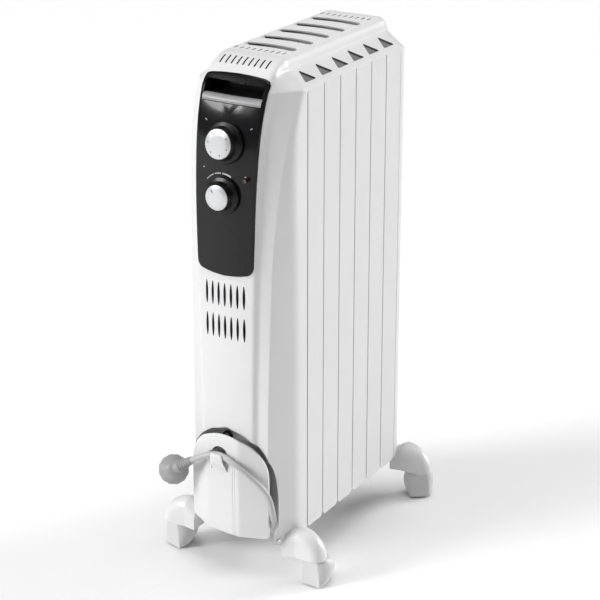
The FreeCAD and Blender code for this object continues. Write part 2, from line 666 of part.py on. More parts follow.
def arm():
    """Horn-shaped arm on the +X side: it rises beside the body and turns down to its lip."""
    end = arm_section(*ARM_BEND)
    straight = Part.makeLoft([arm_section(*ARM_ROOT), end], True, True)
    turn = Part.Face(end).revolve(V(ARM_BEND[0], 0, LIP_Z), Y_AXIS, 90)
    recess = cylinder(COLLAR_R + RECESS_FIT, 3.5, V(STEM_X, STEM_FRONT_Y, LIP_Z), Z_AXIS)
    bore = cylinder(STEM_R + PIN_FIT, STEM_TOP - LIP_Z + 0.4, V(STEM_X, STEM_FRONT_Y, LIP_Z), Z_AXIS)
    return union([straight, turn]).cut(recess).cut(bore)


def foot_bracket(cover, shift):
    """Pressed cross member under the fins with an arm for a castor at each end."""
    y0, y1, half = STEM_FRONT_Y + 7, 48.0, ARM_ROOT[0] + 2
    plate = box(-half, half, y0, y1, FIN_BASE - 3, FIN_BASE)
    flanges = [box(-half, half, y, y + 3, FIN_BASE - FOOT_FLANGE, FIN_BASE) for y in (y0, y1 - 3)]
    right = arm()
    body = union([plate] + flanges + [right, right.mirror(V(0, 0, 0), X_AXIS)])
    body.translate(V(shift, 0, 0))
    holes = [cylinder(3.3, 30, V(x, FIN_PITCH, 40), Z_AXIS) for x in (-CLAMP_X, CLAMP_X)]
    return only_solid(cut_all(body, holes + [cover]))


def foot_clamp():
    """U-bolt over the lower header, between the first two fins."""
    z, half = HEADER_Z[0], CLAMP_X
    path = Part.Wire([
        Part.LineSegment(V(-half, FIN_PITCH, 42), V(-half, FIN_PITCH, z)).toShape(),
        Part.Arc(V(-half, FIN_PITCH, z), V(0, FIN_PITCH, z + half), V(half, FIN_PITCH, z)).toShape(),
        Part.LineSegment(V(half, FIN_PITCH, z), V(half, FIN_PITCH, 42)).toShape()])
    section = Part.Wire(Part.makeCircle(3.0, V(-half, FIN_PITCH, 42), Z_AXIS))
    return path.makePipeShell([section], True, False)


def wing_nuts():
    nuts = []
    for x in (-CLAMP_X, CLAMP_X):
        hub = cylinder(6, 8, V(x, FIN_PITCH, FIN_BASE - 11), Z_AXIS)
        wings = box(x - 13, x + 13, FIN_PITCH - 1.5, FIN_PITCH + 1.5, FIN_BASE - 12, FIN_BASE - 5)
        nuts.append(union([hub, wings]).cut(cylinder(3.0, 20, V(x, FIN_PITCH, 44), Z_AXIS)))
    return Part.Compound(nuts)


def to_rear(shape):
    """The rear foot is the front one turned half a turn about the stack's middle."""
    turned = shape.copy()
    turned.rotate(V(0, STACK / 2, 0), Z_AXIS, 180)
    return turned


# ---- castors ----
# z, radius of the round part, half width of the flat front, at each height
BOOT_ROWS = ((2.5, 13.5, 12.2), (12.0, 18.5, 11.7), (22.0, 20.0, 10.5), (31.0, 18.5, 9.2),
             (37.0, 14.5, 7.6))
BOOT_FRONT = 8.0


def boot_section(z, radius, half):
    """Round section with a flat front, drawn round the stem at the origin."""
    centre = math.sqrt(radius ** 2 - half ** 2) - BOOT_FRONT
    flat = Part.LineSegment(V(half, -BOOT_FRONT, z), V(-half, -BOOT_FRONT, z)).toShape()
    back = Part.Arc(V(-half, -BOOT_FRONT, z), V(0, centre + radius, z),
                    V(half, -BOOT_FRONT, z)).toShape()
    return Part.Wire([flat, back])


def castor_boot():
    body = Part.makeLoft([boot_section(*row) for row in BOOT_ROWS], True, False)
    collar = cylinder(COLLAR_R, 4.0, V(0, 0, 36.0), Z_AXIS)
    half, round_r = WHEEL_WIDTH / 2 + WHEEL_ROOM, WHEEL_R + WHEEL_ROOM
    room = box(-half, half, AXLE_Y - round_r, AXLE_Y + round_r, 0, WHEEL_R)
    room = room.fuse(cylinder(round_r, 2 * half, V(-half, AXLE_Y, WHEEL_R), X_AXIS))
    tools = [room, stem_pin(), axle_pin()]
    return only_solid(cut_all(body.fuse(collar), tools))


def axle_pin():
    return cylinder(AXLE_R, 27, V(-13.5, AXLE_Y, WHEEL_R), X_AXIS)


def stem_pin():
    return cylinder(STEM_R, STEM_TOP - 31.5, V(0, 0, 31.5), Z_AXIS)


def castor_wheel():
    half = WHEEL_WIDTH / 2
    profile = [V(-half, 0, 0), V(-half, WHEEL_R - 1.5, 0), V(-half + 1.5, WHEEL_R, 0),
               V(half - 1.5, WHEEL_R, 0), V(half, WHEEL_R - 1.5, 0), V(half, 0, 0)]
    wheel = Part.Face(Part.makePolygon(profile + profile[:1])).revolve(V(0, 0, 0), X_AXIS, 360)
    wheel = wheel.cut(cylinder(AXLE_R + PIN_FIT, WHEEL_WIDTH + 2, V(-half - 1, 0, 0), X_AXIS))
    wheel.translate(V(0, AXLE_Y, WHEEL_R))
    return wheel


# corner, x sign, stem y, swivel angle at rest in degrees
CASTORS = (("front_right", 1, STEM_FRONT_Y, -3.0), ("front_left", -1, STEM_FRONT_Y, -15.0),
           ("rear_right", 1, STACK - STEM_FRONT_Y, 37.0),
           ("rear_left", -1, STACK - STEM_FRONT_Y, -34.0))


def write_castors():
    pieces = {"boot": castor_boot(), "wheel": castor_wheel(),
              "pins": Part.Compound([stem_pin(), axle_pin()])}
    for corner, side, y, angle in CASTORS:
        for kind, shape in pieces.items():
            placed = shape.copy()
            placed.rotate(V(0, 0, 0), Z_AXIS, angle)
            placed.translate(V(side * STEM_X + FOOT_SHIFT, y, 0))
            write("%s_castor_%s" % (corner, kind), placed)


# ---- fasteners ----
def screw(place, outward):
    """Pan-head screw: its head lies on the surface at place."""
    head = cylinder(2.8, 1.4, place, outward)
    return head.fuse(cylinder(1.5, 5.0, place, outward * -1))


def front_screws():
    """One screw in the ear at each lower corner of the front cover."""
    crease, along = side_plane(59.0)
    place = crease + along * ((58.5 - crease.x) / along.x)
    right = screw(place, V(along.y, -along.x, 0))
    return [right, right.mirror(V(0, 0, 0), X_AXIS)]


def rear_screws():
    return [screw(V(x, STACK + REAR_DEPTH, z), Y_AXIS) for x in (-34, 34) for z in (110.0, 590.0)]


def main():
    os.makedirs("parts", exist_ok=True)
    outer = cover_solid(0, 0.0)
    for index in range(FIN_COUNT):
        write("radiator_fin_%d" % (index + 1), fin(index))
    write("top_cover", top_cover())
    write("front_cover", front_cover(outer))
    write("control_panel", control_panel(outer))
    write("handle_cup", handle_cup(outer))
    write("pilot_lamp", pilot_lamp(LAMP_R))
    for name, control, cap_r, skirt_r, depth in (
            ("thermostat", THERMOSTAT, 17.6, 24.5, 15.8), ("power", POWER, 15.2, 22.0, 14.6)):
        write(name + "_knob", place_control(knob(cap_r, skirt_r, depth), control))
        write(name + "_knob_cap", place_control(knob_cap(cap_r), control))
        write(name + "_spindle", place_control(spindle(28), control))
    write("thermostat_body", place_control(control_body(18, 15), THERMOSTAT))
    write("power_switch_body", place_control(control_body(16, 16), POWER))
    write("control_bracket", control_bracket())
    write("header_plugs", header_plugs())
    write("oil_filler_plug", filler_plug())
    write("hub_strap", hub_strap())
    write("element_flange", element_flange())
    write("element_gasket", element_gasket())
    write("heating_element", heating_element())
    write("thermal_cutout", thermal_cutout())
    write("terminal_block", terminal_block())
    write("wiring", wiring())
    write("cord_tray", cord_tray(outer))
    write("cord_grommet", cord_grommet())
    write("cord_drum", cord_drum())
    write("cord_wrap_plate", wrap_plate())
    write("cord_clip", clip_tongue())
    write("mains_cord_winding", cord_winding())
    write("mains_cord_tail", cord_tail())
    write("plug_body", plug_body())
    write("plug_pins", plug_pins())
    write("rear_cover", rear_cover())
    cover = outer.cut(bottom_wedge()).fuse(cover_ears())
    write("front_foot_bracket", foot_bracket(cover, FOOT_SHIFT))
    write("rear_foot_bracket", to_rear(foot_bracket(cover, -FOOT_SHIFT)).cut(rear_block(0)))
    write("front_foot_clamp", foot_clamp())
    write("rear_foot_clamp", to_rear(foot_clamp()))
    write("front_wing_nuts", wing_nuts())
    write("rear_wing_nuts", to_rear(wing_nuts()))
    write("cover_screws", Part.Compound(front_screws() + rear_screws()))
    write_castors()


main()
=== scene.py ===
import json
import math

import bmesh
import bpy
from mathutils import Matrix, Vector


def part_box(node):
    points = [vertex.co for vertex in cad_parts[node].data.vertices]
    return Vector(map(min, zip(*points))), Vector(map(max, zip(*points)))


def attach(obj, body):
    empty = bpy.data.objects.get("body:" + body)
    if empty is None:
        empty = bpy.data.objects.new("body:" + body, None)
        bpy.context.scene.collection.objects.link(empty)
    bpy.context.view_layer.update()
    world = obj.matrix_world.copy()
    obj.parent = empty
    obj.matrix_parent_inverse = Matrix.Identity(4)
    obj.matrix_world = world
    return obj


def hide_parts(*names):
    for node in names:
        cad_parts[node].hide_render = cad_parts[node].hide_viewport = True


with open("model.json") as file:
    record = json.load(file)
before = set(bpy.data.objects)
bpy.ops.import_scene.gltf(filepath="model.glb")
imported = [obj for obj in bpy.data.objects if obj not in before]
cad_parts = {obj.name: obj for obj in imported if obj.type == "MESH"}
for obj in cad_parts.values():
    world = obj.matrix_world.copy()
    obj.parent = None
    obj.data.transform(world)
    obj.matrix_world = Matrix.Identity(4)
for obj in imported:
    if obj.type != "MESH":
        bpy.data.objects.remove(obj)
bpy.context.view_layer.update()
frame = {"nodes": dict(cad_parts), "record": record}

MM = 0.001
SEAM_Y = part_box("top_cover")[0].y      # rear edge of the front cover, the y = 0 of every shape below
BODY = "heater_body"

# ---- dimensions, mm, from the CAD ----
FIN_PITCH, FIN_COUNT = 37.5, 6
STACK = FIN_PITCH * FIN_COUNT
FIN_BASE, SHOULDER_Z, CROWN_Z = 60.0, 616.5, 650.0
SIDE_X, CROWN_HALF = 71.0, 36.0
SLOPE_TOP = (46.5, 634.0)              # x and z of the shoulder slope's upper edge
# front cover rows: z, then x and y of the face's edge, the step's foot and the crease, then y of the
# side's bend, x of the side and the softness with which the surface runs through the row
ROWS = (
    (FIN_BASE, 33.8, -66.7, 38.5, -61.8, 51.9, -60.4, -22.5, SIDE_X, 0.5),
    (208.0, 33.8, -66.7, 38.5, -61.8, 51.9, -60.4, -22.5, SIDE_X, 0.5),
    (380.0, 37.2, -66.7, 42.5, -61.2, 54.8, -55.3, -24.0, SIDE_X, 0.5),
    (450.0, 39.0, -66.3, 43.8, -58.8, 57.2, -51.0, -27.0, SIDE_X, 0.5),
    (502.0, 40.6, -64.5, 44.8, -55.5, 60.2, -45.2, -29.0, SIDE_X, 0.5),
    (550.0, 41.9, -60.0, 46.3, -51.0, 64.0, -37.0, -27.0, SIDE_X, 0.5),
    (580.0, 42.7, -54.8, 47.6, -45.5, 66.9, -29.0, -22.0, SIDE_X, 0.5),
    (600.0, 43.4, -49.0, 49.0, -40.0, 68.8, -18.0, -13.0, SIDE_X, 0.5),
    (SHOULDER_Z, 43.9, -42.5, 50.0, -34.0, 70.0, -9.0, -5.0, SIDE_X, 0.07),
    (SLOPE_TOP[1], 40.0, -32.0, 44.0, -27.0, 46.0, -9.0, -5.0, SLOPE_TOP[0], 0.25),
    (641.0, 38.0, -24.5, 42.0, -20.0, 44.6, -7.0, -4.0, 45.0, 0.5),
    (646.5, 35.0, -14.0, 39.0, -11.0, 42.1, -4.5, -2.5, 42.5, 0.5),
    (CROWN_Z, 30.0, -3.0, 33.0, -2.5, 35.0, -1.5, -0.8, CROWN_HALF, 0.5),
)
ROUNDING = (2.6, 2.6, 1.3, 7.0)        # setbacks of the plan's four corners
FACE_BULGE = 3.3
WALL = 2.5
THERMOSTAT = (Vector((0, -79.9, 560.8)), 8.0, "thermostat_dial")
POWER = (Vector((0, -84.8, 498.7)), 3.0, "power_dial")
STORE_HALF, STORE_TOP = 59.0, 205.0
SPINDLE_HOLE_R = 5.0
CORD_D = 7.4

# ---- view and light; places in mm like the shapes ----
CAMERA_EYE, CAMERA_TARGET = (1158.4, -1847.7, 1192.0), (-4.2, 108.8, 309.3)
CAMERA_LENS, CAMERA_SENSOR = 117.1, 36.0
WORLD_STRENGTH = 0.05
FLOOR_REACH = 14000


def place(x, y, z):
    """From millimetres with y = 0 at the front cover's rear edge to the row frame."""
    return Vector((x * MM, y * MM + SEAM_Y, z * MM))


# ---- curves ----
def bezier(a, b, c, count):
    """Points of a quadratic curve from a to c, without its last point."""
    out = []
    for i in range(count):
        t = i / count
        out.append(tuple(p * (1 - t) ** 2 + 2 * q * t * (1 - t) + r * t * t for p, q, r in zip(a, b, c)))
    return out


def lerp(a, b, t):
    """The point a share t of the way from a to b."""
    return tuple(p + (q - p) * t for p, q in zip(a, b))


def smooth(t):
    """Eased share: level at 0 and at 1."""
    return t * t * (3 - 2 * t)


def soft_chain(points, softness, count=8):
    """A chain of points whose corners are rounded over a share of the spans beside them."""
    out = [tuple(points[0])]
    for before, here, after, soft in zip(points, points[1:], points[2:], softness[1:]):
        first, last = lerp(here, before, soft), lerp(here, after, soft)
        if soft < 0.4:
            span = count // 2
            out += [lerp(out[-1], first, i / span) for i in range(1, span)]
        out += bezier(first, here, last, count) + [last]
    out.append(tuple(points[-1]))
    return out


def set_back(here, other, setback):
    """Point at a setback from here towards other, at most 0.46 of the way."""
    length = math.dist(here, other)
    return lerp(here, other, min(setback, 0.46 * length) / length)


def round_corner(points, setbacks, count=5):
    """A chain in which each inner point is rounded by a setback in millimetres."""
    out = [tuple(points[0])]
    for before, here, after, setback in zip(points, points[1:], points[2:], setbacks):
        first, last = set_back(here, before, setback), set_back(here, after, setback)
        out += [lerp(out[-1], first, i / 3) for i in (1, 2)]
        out += bezier(first, here, last, count) + [last]
    out += [lerp(out[-1], points[-1], i / 3) for i in (1, 2, 3)]
    return out


COVER_ROWS = soft_chain(ROWS, [row[-1] for row in ROWS])
SHOULDER_PATH = [(row[8], row[0]) for row in COVER_ROWS if row[0] >= SHOULDER_Z - 0.6]


def plan_half(row, inset=0.0):
    """Right half of the front cover's plan at one row, from its middle to its rear edge."""
    x0, y0, x1, y1, x2, y2, y3, xs = row[1:9]
    bulge = min(FACE_BULGE, 0.4 - y0 * 0.05)
    face = [(x0 * t, y0 - bulge * (1 - t * t)) for t in (0, 0.12, 0.25, 0.38, 0.5, 0.62, 0.74, 0.85)]
    chain = [face[-1], (x0, y0), (x1, y1), (x2, y2), (xs, y3), (xs, 0.0)]
    plan = face[:-1] + round_corner(chain, ROUNDING)
    return [(x - inset * min(1, x / 30), min(y + inset, 0.0) if inset else y) for x, y in plan]


def front_y(x, z):
    """The front cover's surface at x and z."""
    above = next((i for i, row in enumerate(COVER_ROWS) if row[0] >= z), len(COVER_ROWS) - 1)
    low, high = COVER_ROWS[max(1, above) - 1], COVER_ROWS[max(1, above)]
    share = (z - low[0]) / max(1e-6, high[0] - low[0])
    plan = plan_half(lerp(low, high, share))
    x = abs(x)
    for a, b in zip(plan, plan[1:]):
        if a[0] <= x <= b[0] and b[0] > a[0]:
            return a[1] + (b[1] - a[1]) * (x - a[0]) / (b[0] - a[0])
    return plan[-1][1]


# ---- mesh helpers ----
def new_object(name, verts, faces, local=None):
    """A mesh in millimetres; local is a matrix that the object keeps as its own transform."""
    mesh = bpy.data.meshes.new(name)
    if local is None:
        mesh.from_pydata([place(*v) for v in verts], [], faces)
    else:
        mesh.from_pydata([Vector(v) * MM for v in verts], [], faces)
    mesh.update()
    bm = bmesh.new()
    bm.from_mesh(mesh)
    bmesh.ops.remove_doubles(bm, verts=bm.verts, dist=1e-7)
    bmesh.ops.recalc_face_normals(bm, faces=bm.faces)
    bm.to_mesh(mesh)
    bm.free()
    obj = bpy.data.objects.new(name, mesh)
    bpy.context.scene.collection.objects.link(obj)
    if local is not None:
        obj.matrix_world = local
    return obj


def grid_faces(rows, cols, closed=False):
    """Quads between the points of a grid; closed joins each row's last point to its first."""
    faces = []
    for low in range(0, (rows - 1) * cols, cols):
        high = low + cols
        for c in range(cols if closed else cols - 1):
            after = (c + 1) % cols
            faces.append((low + c, low + after, high + after, high + c))
    return faces


def tube_solid(name, loops, local=None):
    """Closed solid through a list of equal loops, capped at both ends."""
    cols = len(loops[0])
    verts = [v for loop in loops for v in loop]
    faces = grid_faces(len(loops), cols, closed=True)
    faces.append(tuple(range(cols)))
    faces.append(tuple(range((len(loops) - 1) * cols, len(loops) * cols)))
    return new_object(name, verts, faces, local)


def prism(name, outline, offset):
    """Solid from a closed outline of points, swept by an offset."""
    moved = [tuple(p + q for p, q in zip(point, offset)) for point in outline]
    return tube_solid(name, [outline, moved])


def joined(name, objects):
    """One object with the meshes of several, without their materials."""
    bm = bmesh.new()
    for obj in objects:
        bm.from_mesh(obj.data)
    mesh = bpy.data.meshes.new(name)
    bm.to_mesh(mesh)
    bm.free()
    for obj in objects:
        bpy.data.objects.remove(obj)
    out = bpy.data.objects.new(name, mesh)
    bpy.context.scene.collection.objects.link(out)
    return out


def settle(obj):
    """Applies an object's modifiers to its mesh."""
    graph = bpy.context.evaluated_depsgraph_get()
    mesh = bpy.data.meshes.new_from_object(obj.evaluated_get(graph))
    obj.modifiers.clear()
    obj.data = mesh
    return obj


def boolean(obj, cutter, operation="DIFFERENCE", lining=None):
    """Applies a boolean and uses the cutter up; lining is the material of the new faces."""
    modifier = obj.modifiers.new("cut", "BOOLEAN")
    if lining:
        cutter.data.materials.clear()
        cutter.data.materials.append(lining)
        modifier.material_mode = "TRANSFER"
    modifier.object = cutter
    modifier.operation = operation
    modifier.solver = "EXACT"
    settle(obj)
    bpy.data.objects.remove(cutter)
    return obj


def finish_piece(obj, material, replaced=(), body=BODY, angle=35.0):
    """Smooth shading, material and the body that the piece rides on."""
    obj.data.shade_smooth()
    obj.data.set_sharp_from_angle(angle=math.radians(angle))
    if material:
        obj.data.materials.clear()
        obj.data.materials.append(material)
    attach(obj, body)
    if replaced:
        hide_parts(*replaced)
    return obj


def lathe(profile, count=96):
    """Loops of a profile of (radius, y) pairs turned round the Y axis."""
    return [[(r * math.cos(2 * math.pi * i / count), y, r * math.sin(2 * math.pi * i / count))
             for i in range(count)] for r, y in profile]


def arch_outline(half, top, low, y, count=28):
    """Upright outline with a round top, in the plane of one y."""
    spring = top - half
    arc = [(half * math.cos(math.pi * i / count), y, spring + half * math.sin(math.pi * i / count))
           for i in range(count + 1)]
    return [(half, y, low)] + arc + [(-half, y, low)]


def rounded_box(x0, x1, y0, y1, z0, z1, radius, count=5):
    """Box swept along Y whose four long edges are round."""
    outline = []
    for cx, cz, start in ((x1, z1, 0), (x0, z1, 90), (x0, z0, 180), (x1, z0, 270)):
        sx, sz = (1 if cx == x1 else -1), (1 if cz == z1 else -1)
        for i in range(count + 1):
            a = math.radians(start + 90 * i / count)
            x = cx - sx * radius + radius * math.cos(a)
            outline.append((x, y0, cz - sz * radius + radius * math.sin(a)))
    return prism("box", outline, (0, y1 - y0, 0))


# ---- materials ----
def node(tree, kind, **settings):
    """A new shader node with some of its properties set."""
    made = tree.nodes.new(kind)
    for key, value in settings.items():
        setattr(made, key, value)
    return made


def noise(tree, coords, scale, detail):
    """Noise texture in the object's own coordinates."""
    made = node(tree, "ShaderNodeTexNoise")
    made.inputs["Scale"].default_value = scale
    made.inputs["Detail"].default_value = detail
    tree.links.new(coords.outputs["Object"], made.inputs["Vector"])
    return made


def bump(tree, texture, distance):
    """Relief from a texture, with its height in metres."""
    made = node(tree, "ShaderNodeBump")
    made.inputs["Strength"].default_value = 1.0
    made.inputs["Distance"].default_value = distance
    tree.links.new(texture.outputs["Fac"], made.inputs["Height"])
    return made


def surface(name, colour, rough, metallic=0.0, vary=0.03, grain=900.0, grain_height=0.00002,
            wave=45.0, wave_height=0.0, coat=0.0, coat_rough=0.1, rough_vary=0.05, spec=0.5):
    """Procedural surface: slow colour variation, fine grain in gloss and height, slight waviness."""
    material = bpy.data.materials.new(name)
    material.use_nodes = True
    tree = material.node_tree
    shader = tree.nodes["Principled BSDF"]
    shader.inputs["Metallic"].default_value = metallic
    shader.inputs["Coat Weight"].default_value = coat
    shader.inputs["Coat Roughness"].default_value = coat_rough
    shader.inputs["Specular IOR Level"].default_value = spec
    coords = node(tree, "ShaderNodeTexCoord")
    slow = noise(tree, coords, 14.0, 5.0)
    ramp = node(tree, "ShaderNodeValToRGB")
    ramp.color_ramp.elements[0].position = 0.3
    ramp.color_ramp.elements[1].position = 0.7
    ramp.color_ramp.elements[0].color = [c * (1 - vary) for c in colour] + [1]
    ramp.color_ramp.elements[1].color = [min(1, c * (1 + vary)) for c in colour] + [1]
    tree.links.new(slow.outputs["Fac"], ramp.inputs["Fac"])
    tree.links.new(ramp.outputs["Color"], shader.inputs["Base Color"])
    fine = noise(tree, coords, grain, 3.0)
    gloss = node(tree, "ShaderNodeMapRange")
    gloss.inputs["To Min"].default_value = max(0.02, rough - rough_vary)
    gloss.inputs["To Max"].default_value = min(1.0, rough + rough_vary)
    tree.links.new(fine.outputs["Fac"], gloss.inputs["Value"])
    tree.links.new(gloss.outputs["Result"], shader.inputs["Roughness"])
    relief = bump(tree, fine, grain_height)
    if wave_height:
        waves = bump(tree, noise(tree, coords, wave, 1.0), wave_height)
        tree.links.new(relief.outputs["Normal"], waves.inputs["Normal"])
        relief = waves
    tree.links.new(relief.outputs["Normal"], shader.inputs["Normal"])
    return material


def turned_metal(name, colour):
    """Silver face with fine rings round the object's own Y axis."""
    material = surface(name, colour, 0.32, metallic=0.85, grain=500.0, grain_height=0.000008)
    tree = material.node_tree
    coords = node(tree, "ShaderNodeTexCoord")
    flat = node(tree, "ShaderNodeVectorMath", operation="MULTIPLY")
    flat.inputs[1].default_value = (1, 0, 1)
    tree.links.new(coords.outputs["Object"], flat.inputs[0])
    radius = node(tree, "ShaderNodeVectorMath", operation="LENGTH")
    tree.links.new(flat.outputs["Vector"], radius.inputs[0])
    rings = node(tree, "ShaderNodeTexNoise", noise_dimensions="1D")
    rings.inputs["Scale"].default_value = 3200.0
    tree.links.new(radius.outputs["Value"], rings.inputs["W"])
    relief = bump(tree, rings, 0.00002)
    tree.links.new(relief.outputs["Normal"], tree.nodes["Principled BSDF"].inputs["Normal"])
    return material


MATERIALS = {
    "white_enamel": surface("white_enamel", (0.68, 0.68, 0.68), 0.5, vary=0.012, grain=260.0,
                            grain_height=0.00001, wave_height=0.00006, spec=0.25),
    "white_plastic": surface("white_plastic", (0.67, 0.67, 0.673), 0.34, vary=0.012, grain=1100.0,
                             grain_height=0.000012, coat=0.1, coat_rough=0.25),
    "castor_plastic": surface("castor_plastic", (0.60, 0.60, 0.603), 0.42, vary=0.02, grain=1300.0,
                              grain_height=0.00002),
    "wheel_plastic": surface("wheel_plastic", (0.10, 0.10, 0.105), 0.5, grain=700.0, grain_height=0.00004),
    "panel_black": surface("panel_black", (0.008, 0.008, 0.009), 0.16, vary=0.2, grain=300.0,
                           grain_height=0.000003, coat=0.1, coat_rough=0.06, rough_vary=0.03, spec=0.22),
    "grip_grey": surface("grip_grey", (0.26, 0.26, 0.265), 0.38, vary=0.04, grain=900.0),
    "knob_black": surface("knob_black", (0.005, 0.005, 0.005), 0.34, vary=0.2, grain=900.0,
                          grain_height=0.00001, coat=0.1, spec=0.25),
    "knob_silver": turned_metal("knob_silver", (0.58, 0.59, 0.60)),
    "lamp_amber": surface("lamp_amber", (0.03, 0.010, 0.004), 0.15, coat=0.3, coat_rough=0.05),
    "case_plastic": surface("case_plastic", (0.60, 0.56, 0.44), 0.5, vary=0.05),
    "zinc_steel": surface("zinc_steel", (0.60, 0.61, 0.63), 0.35, metallic=0.95, vary=0.10, grain=500.0,
                          grain_height=0.00002),
    "element_brass": surface("element_brass", (0.70, 0.52, 0.22), 0.32, metallic=0.95, vary=0.08,
                             grain=700.0),
    "element_sheath": surface("element_sheath", (0.32, 0.30, 0.28), 0.45, metallic=0.8, vary=0.15),
    "gasket_rubber": surface("gasket_rubber", (0.02, 0.02, 0.02), 0.6, grain=1200.0, grain_height=0.00004),
    "wire_insulation": surface("wire_insulation", (0.45, 0.08, 0.05), 0.5, vary=0.08),
    "cord_pvc": surface("cord_pvc", (0.44, 0.44, 0.44), 0.42, vary=0.03, grain=1400.0,
                        grain_height=0.00002),
    "pin_plating": surface("pin_plating", (0.72, 0.72, 0.74), 0.18, metallic=1.0, vary=0.04),
}
# Grey painted shade on the walls of the crown's slots and on the sheet seen through them.
SLOT_SHADE = surface("slot_painted_shade", (0.36, 0.36, 0.36), 0.6, vary=0.03)
# Dark painted shade on the walls of the top's outlets and on the sheets seen through them.
INSIDE_SHADE = surface("inside_painted_shade", (0.16, 0.16, 0.16), 0.6, vary=0.03)
PLUG = surface("plug_moulding", (0.30, 0.30, 0.30), 0.40, vary=0.03, grain=1200.0)
PRINT = surface("printed_marks", (0.55, 0.55, 0.56), 0.5, vary=0.02)
FLOOR = surface("pale_floor", (0.90, 0.90, 0.90), 0.6, vary=0.005, grain=40.0, grain_height=0.00001)
SLOT_OF = {part["node"]: part["material_slot"] for part in frame["record"]["subparts"]}


def dress_cad():
    """Every CAD node takes the procedural material of its slot."""
    for name, obj in frame["nodes"].items():
        obj.data.materials.clear()
        obj.data.materials.append(MATERIALS[SLOT_OF[name]])
        obj.data.shade_smooth()
        obj.data.set_sharp_from_angle(angle=math.radians(32))


# ---- camera, light and floor ----
def set_camera():
    data = bpy.data.cameras.new("camera")
    data.sensor_width = CAMERA_SENSOR
    data.lens = CAMERA_LENS
    camera = bpy.data.objects.new("camera", data)
    bpy.context.scene.collection.objects.link(camera)
    eye, target = place(*CAMERA_EYE), place(*CAMERA_TARGET)
    camera.location = eye
    camera.rotation_euler = (target - eye).to_track_quat("-Z", "Y").to_euler()
    bpy.context.scene.camera = camera


def sun(name, toward, strength, softness):
    """Soft sun; toward is the direction from the object to the light."""
    data = bpy.data.lights.new(name, "SUN")
    data.energy = strength
    data.angle = math.radians(softness)
    light = bpy.data.objects.new(name, data)
    bpy.context.scene.collection.objects.link(light)
    light.location = Vector(toward) * 3
    light.rotation_euler = (-Vector(toward)).to_track_quat("-Z", "Y").to_euler()


def soft_box(name, eye, target, size, power):
    """Rectangular light at eye that faces target, in metres."""
    data = bpy.data.lights.new(name, "AREA")
    data.shape = "RECTANGLE"
    data.size, data.size_y = size
    data.energy = power
    light = bpy.data.objects.new(name, data)
    bpy.context.scene.collection.objects.link(light)
    light.location = Vector(eye)
    light.rotation_euler = (Vector(target) - Vector(eye)).to_track_quat("-Z", "Y").to_euler()


def set_light():
    sun("key_left", (-0.58, -0.70, 0.40), 2.3, 24)
    sun("side_right", (0.60, 0.76, 0.30), 2.35, 24)
    sun("overhead", (0.05, -0.1, 1.0), 2.0, 60)
    soft_box("panel_glow", (-0.9, -1.9, 1.5), (0, -0.15, 0.5), (0.5, 0.9), 4)
    world = bpy.data.worlds.new("world")
    world.use_nodes = True
    background = world.node_tree.nodes["Background"]
    background.inputs["Color"].default_value = (1, 1, 1, 1)
    background.inputs["Strength"].default_value = WORLD_STRENGTH
    bpy.context.scene.world = world
    bpy.context.scene.view_settings.view_transform = "Standard"


def set_floor():
    corners = [(sx * FLOOR_REACH, sy * FLOOR_REACH, 0) for sx, sy in ((-1, -1), (1, -1), (1, 1), (-1, 1))]
    floor = new_object("floor", corners, [(0, 1, 2, 3)])
    floor.data.materials.append(FLOOR)


# ---- mains cord ----
DRUM_R, DRUM_SPRING, DRUM_FOOT, FOOT_CORNER = 31.0, 136.5, 74.5, 24.0
TURNS, TURN_STEPS = 4, 24
COIL_Y, COIL_SPREAD, LAYER_STEP, DRUM_GAP = -46.6, 7.8, 7.6, 0.2
CORD_TAIL = [
    (50.5, -52.6, 81.0), (57.6, -56.6, 90.5), (60.0, -63.0, 101.5), (60.4, -66.6, 113.5),
    (58.8, -69.4, 125.5), (53.0, -72.0, 136.5), (43.5, -76.4, 148.0), (29.5, -83.6, 162.8),
    (14.5, -86.0, 172.2), (-4.0, -81.7, 175.9), (-20.0, -85.7, 171.3), (-31.0, -87.0, 165.8),
    (-40.5, -87.4, 160.0)]
CORD_EXIT = (-20.0, -37.8, 178.0)


def turn_point(turns):
    """Centre of the wound cord after so many turns, counted from the left end of the arch."""
    layer = smooth(min(1.0, max(0.0, (turns - TURNS / 2 + 0.3) / 0.6)))
    radius = DRUM_R + CORD_D / 2 + DRUM_GAP + LAYER_STEP * layer
    sweep = (1 - abs(turns - TURNS / 2) / (TURNS / 2)) if turns < TURNS else 0.0
    y = COIL_Y - COIL_SPREAD * sweep
    foot = DRUM_FOOT - (radius - DRUM_R) + FOOT_CORNER
    inner = radius - FOOT_CORNER
    quarter = math.pi / 2 * FOOT_CORNER
    spans = (DRUM_SPRING - foot, quarter, 2 * inner, quarter, DRUM_SPRING - foot, math.pi * radius)
    along = (turns % 1.0) * sum(spans)
    for part, span in enumerate(spans):
        if along <= span or part == len(spans) - 1:
            break
        along -= span
    share = min(1.0, along / span)
    a = math.pi / 2 * share
    if part == 0:
        return (-radius, y, DRUM_SPRING - along)
    if part == 1:
        return (-inner - FOOT_CORNER * math.cos(a), y, foot - FOOT_CORNER * math.sin(a))
    if part == 2:
        return (-inner + along, y, foot - FOOT_CORNER)
    if part == 3:
        return (inner + FOOT_CORNER * math.sin(a), y, foot - FOOT_CORNER * math.cos(a))
    if part == 4:
        return (radius, y, foot + along)
    return (radius * math.cos(2 * a), y, DRUM_SPRING + radius * math.sin(2 * a))


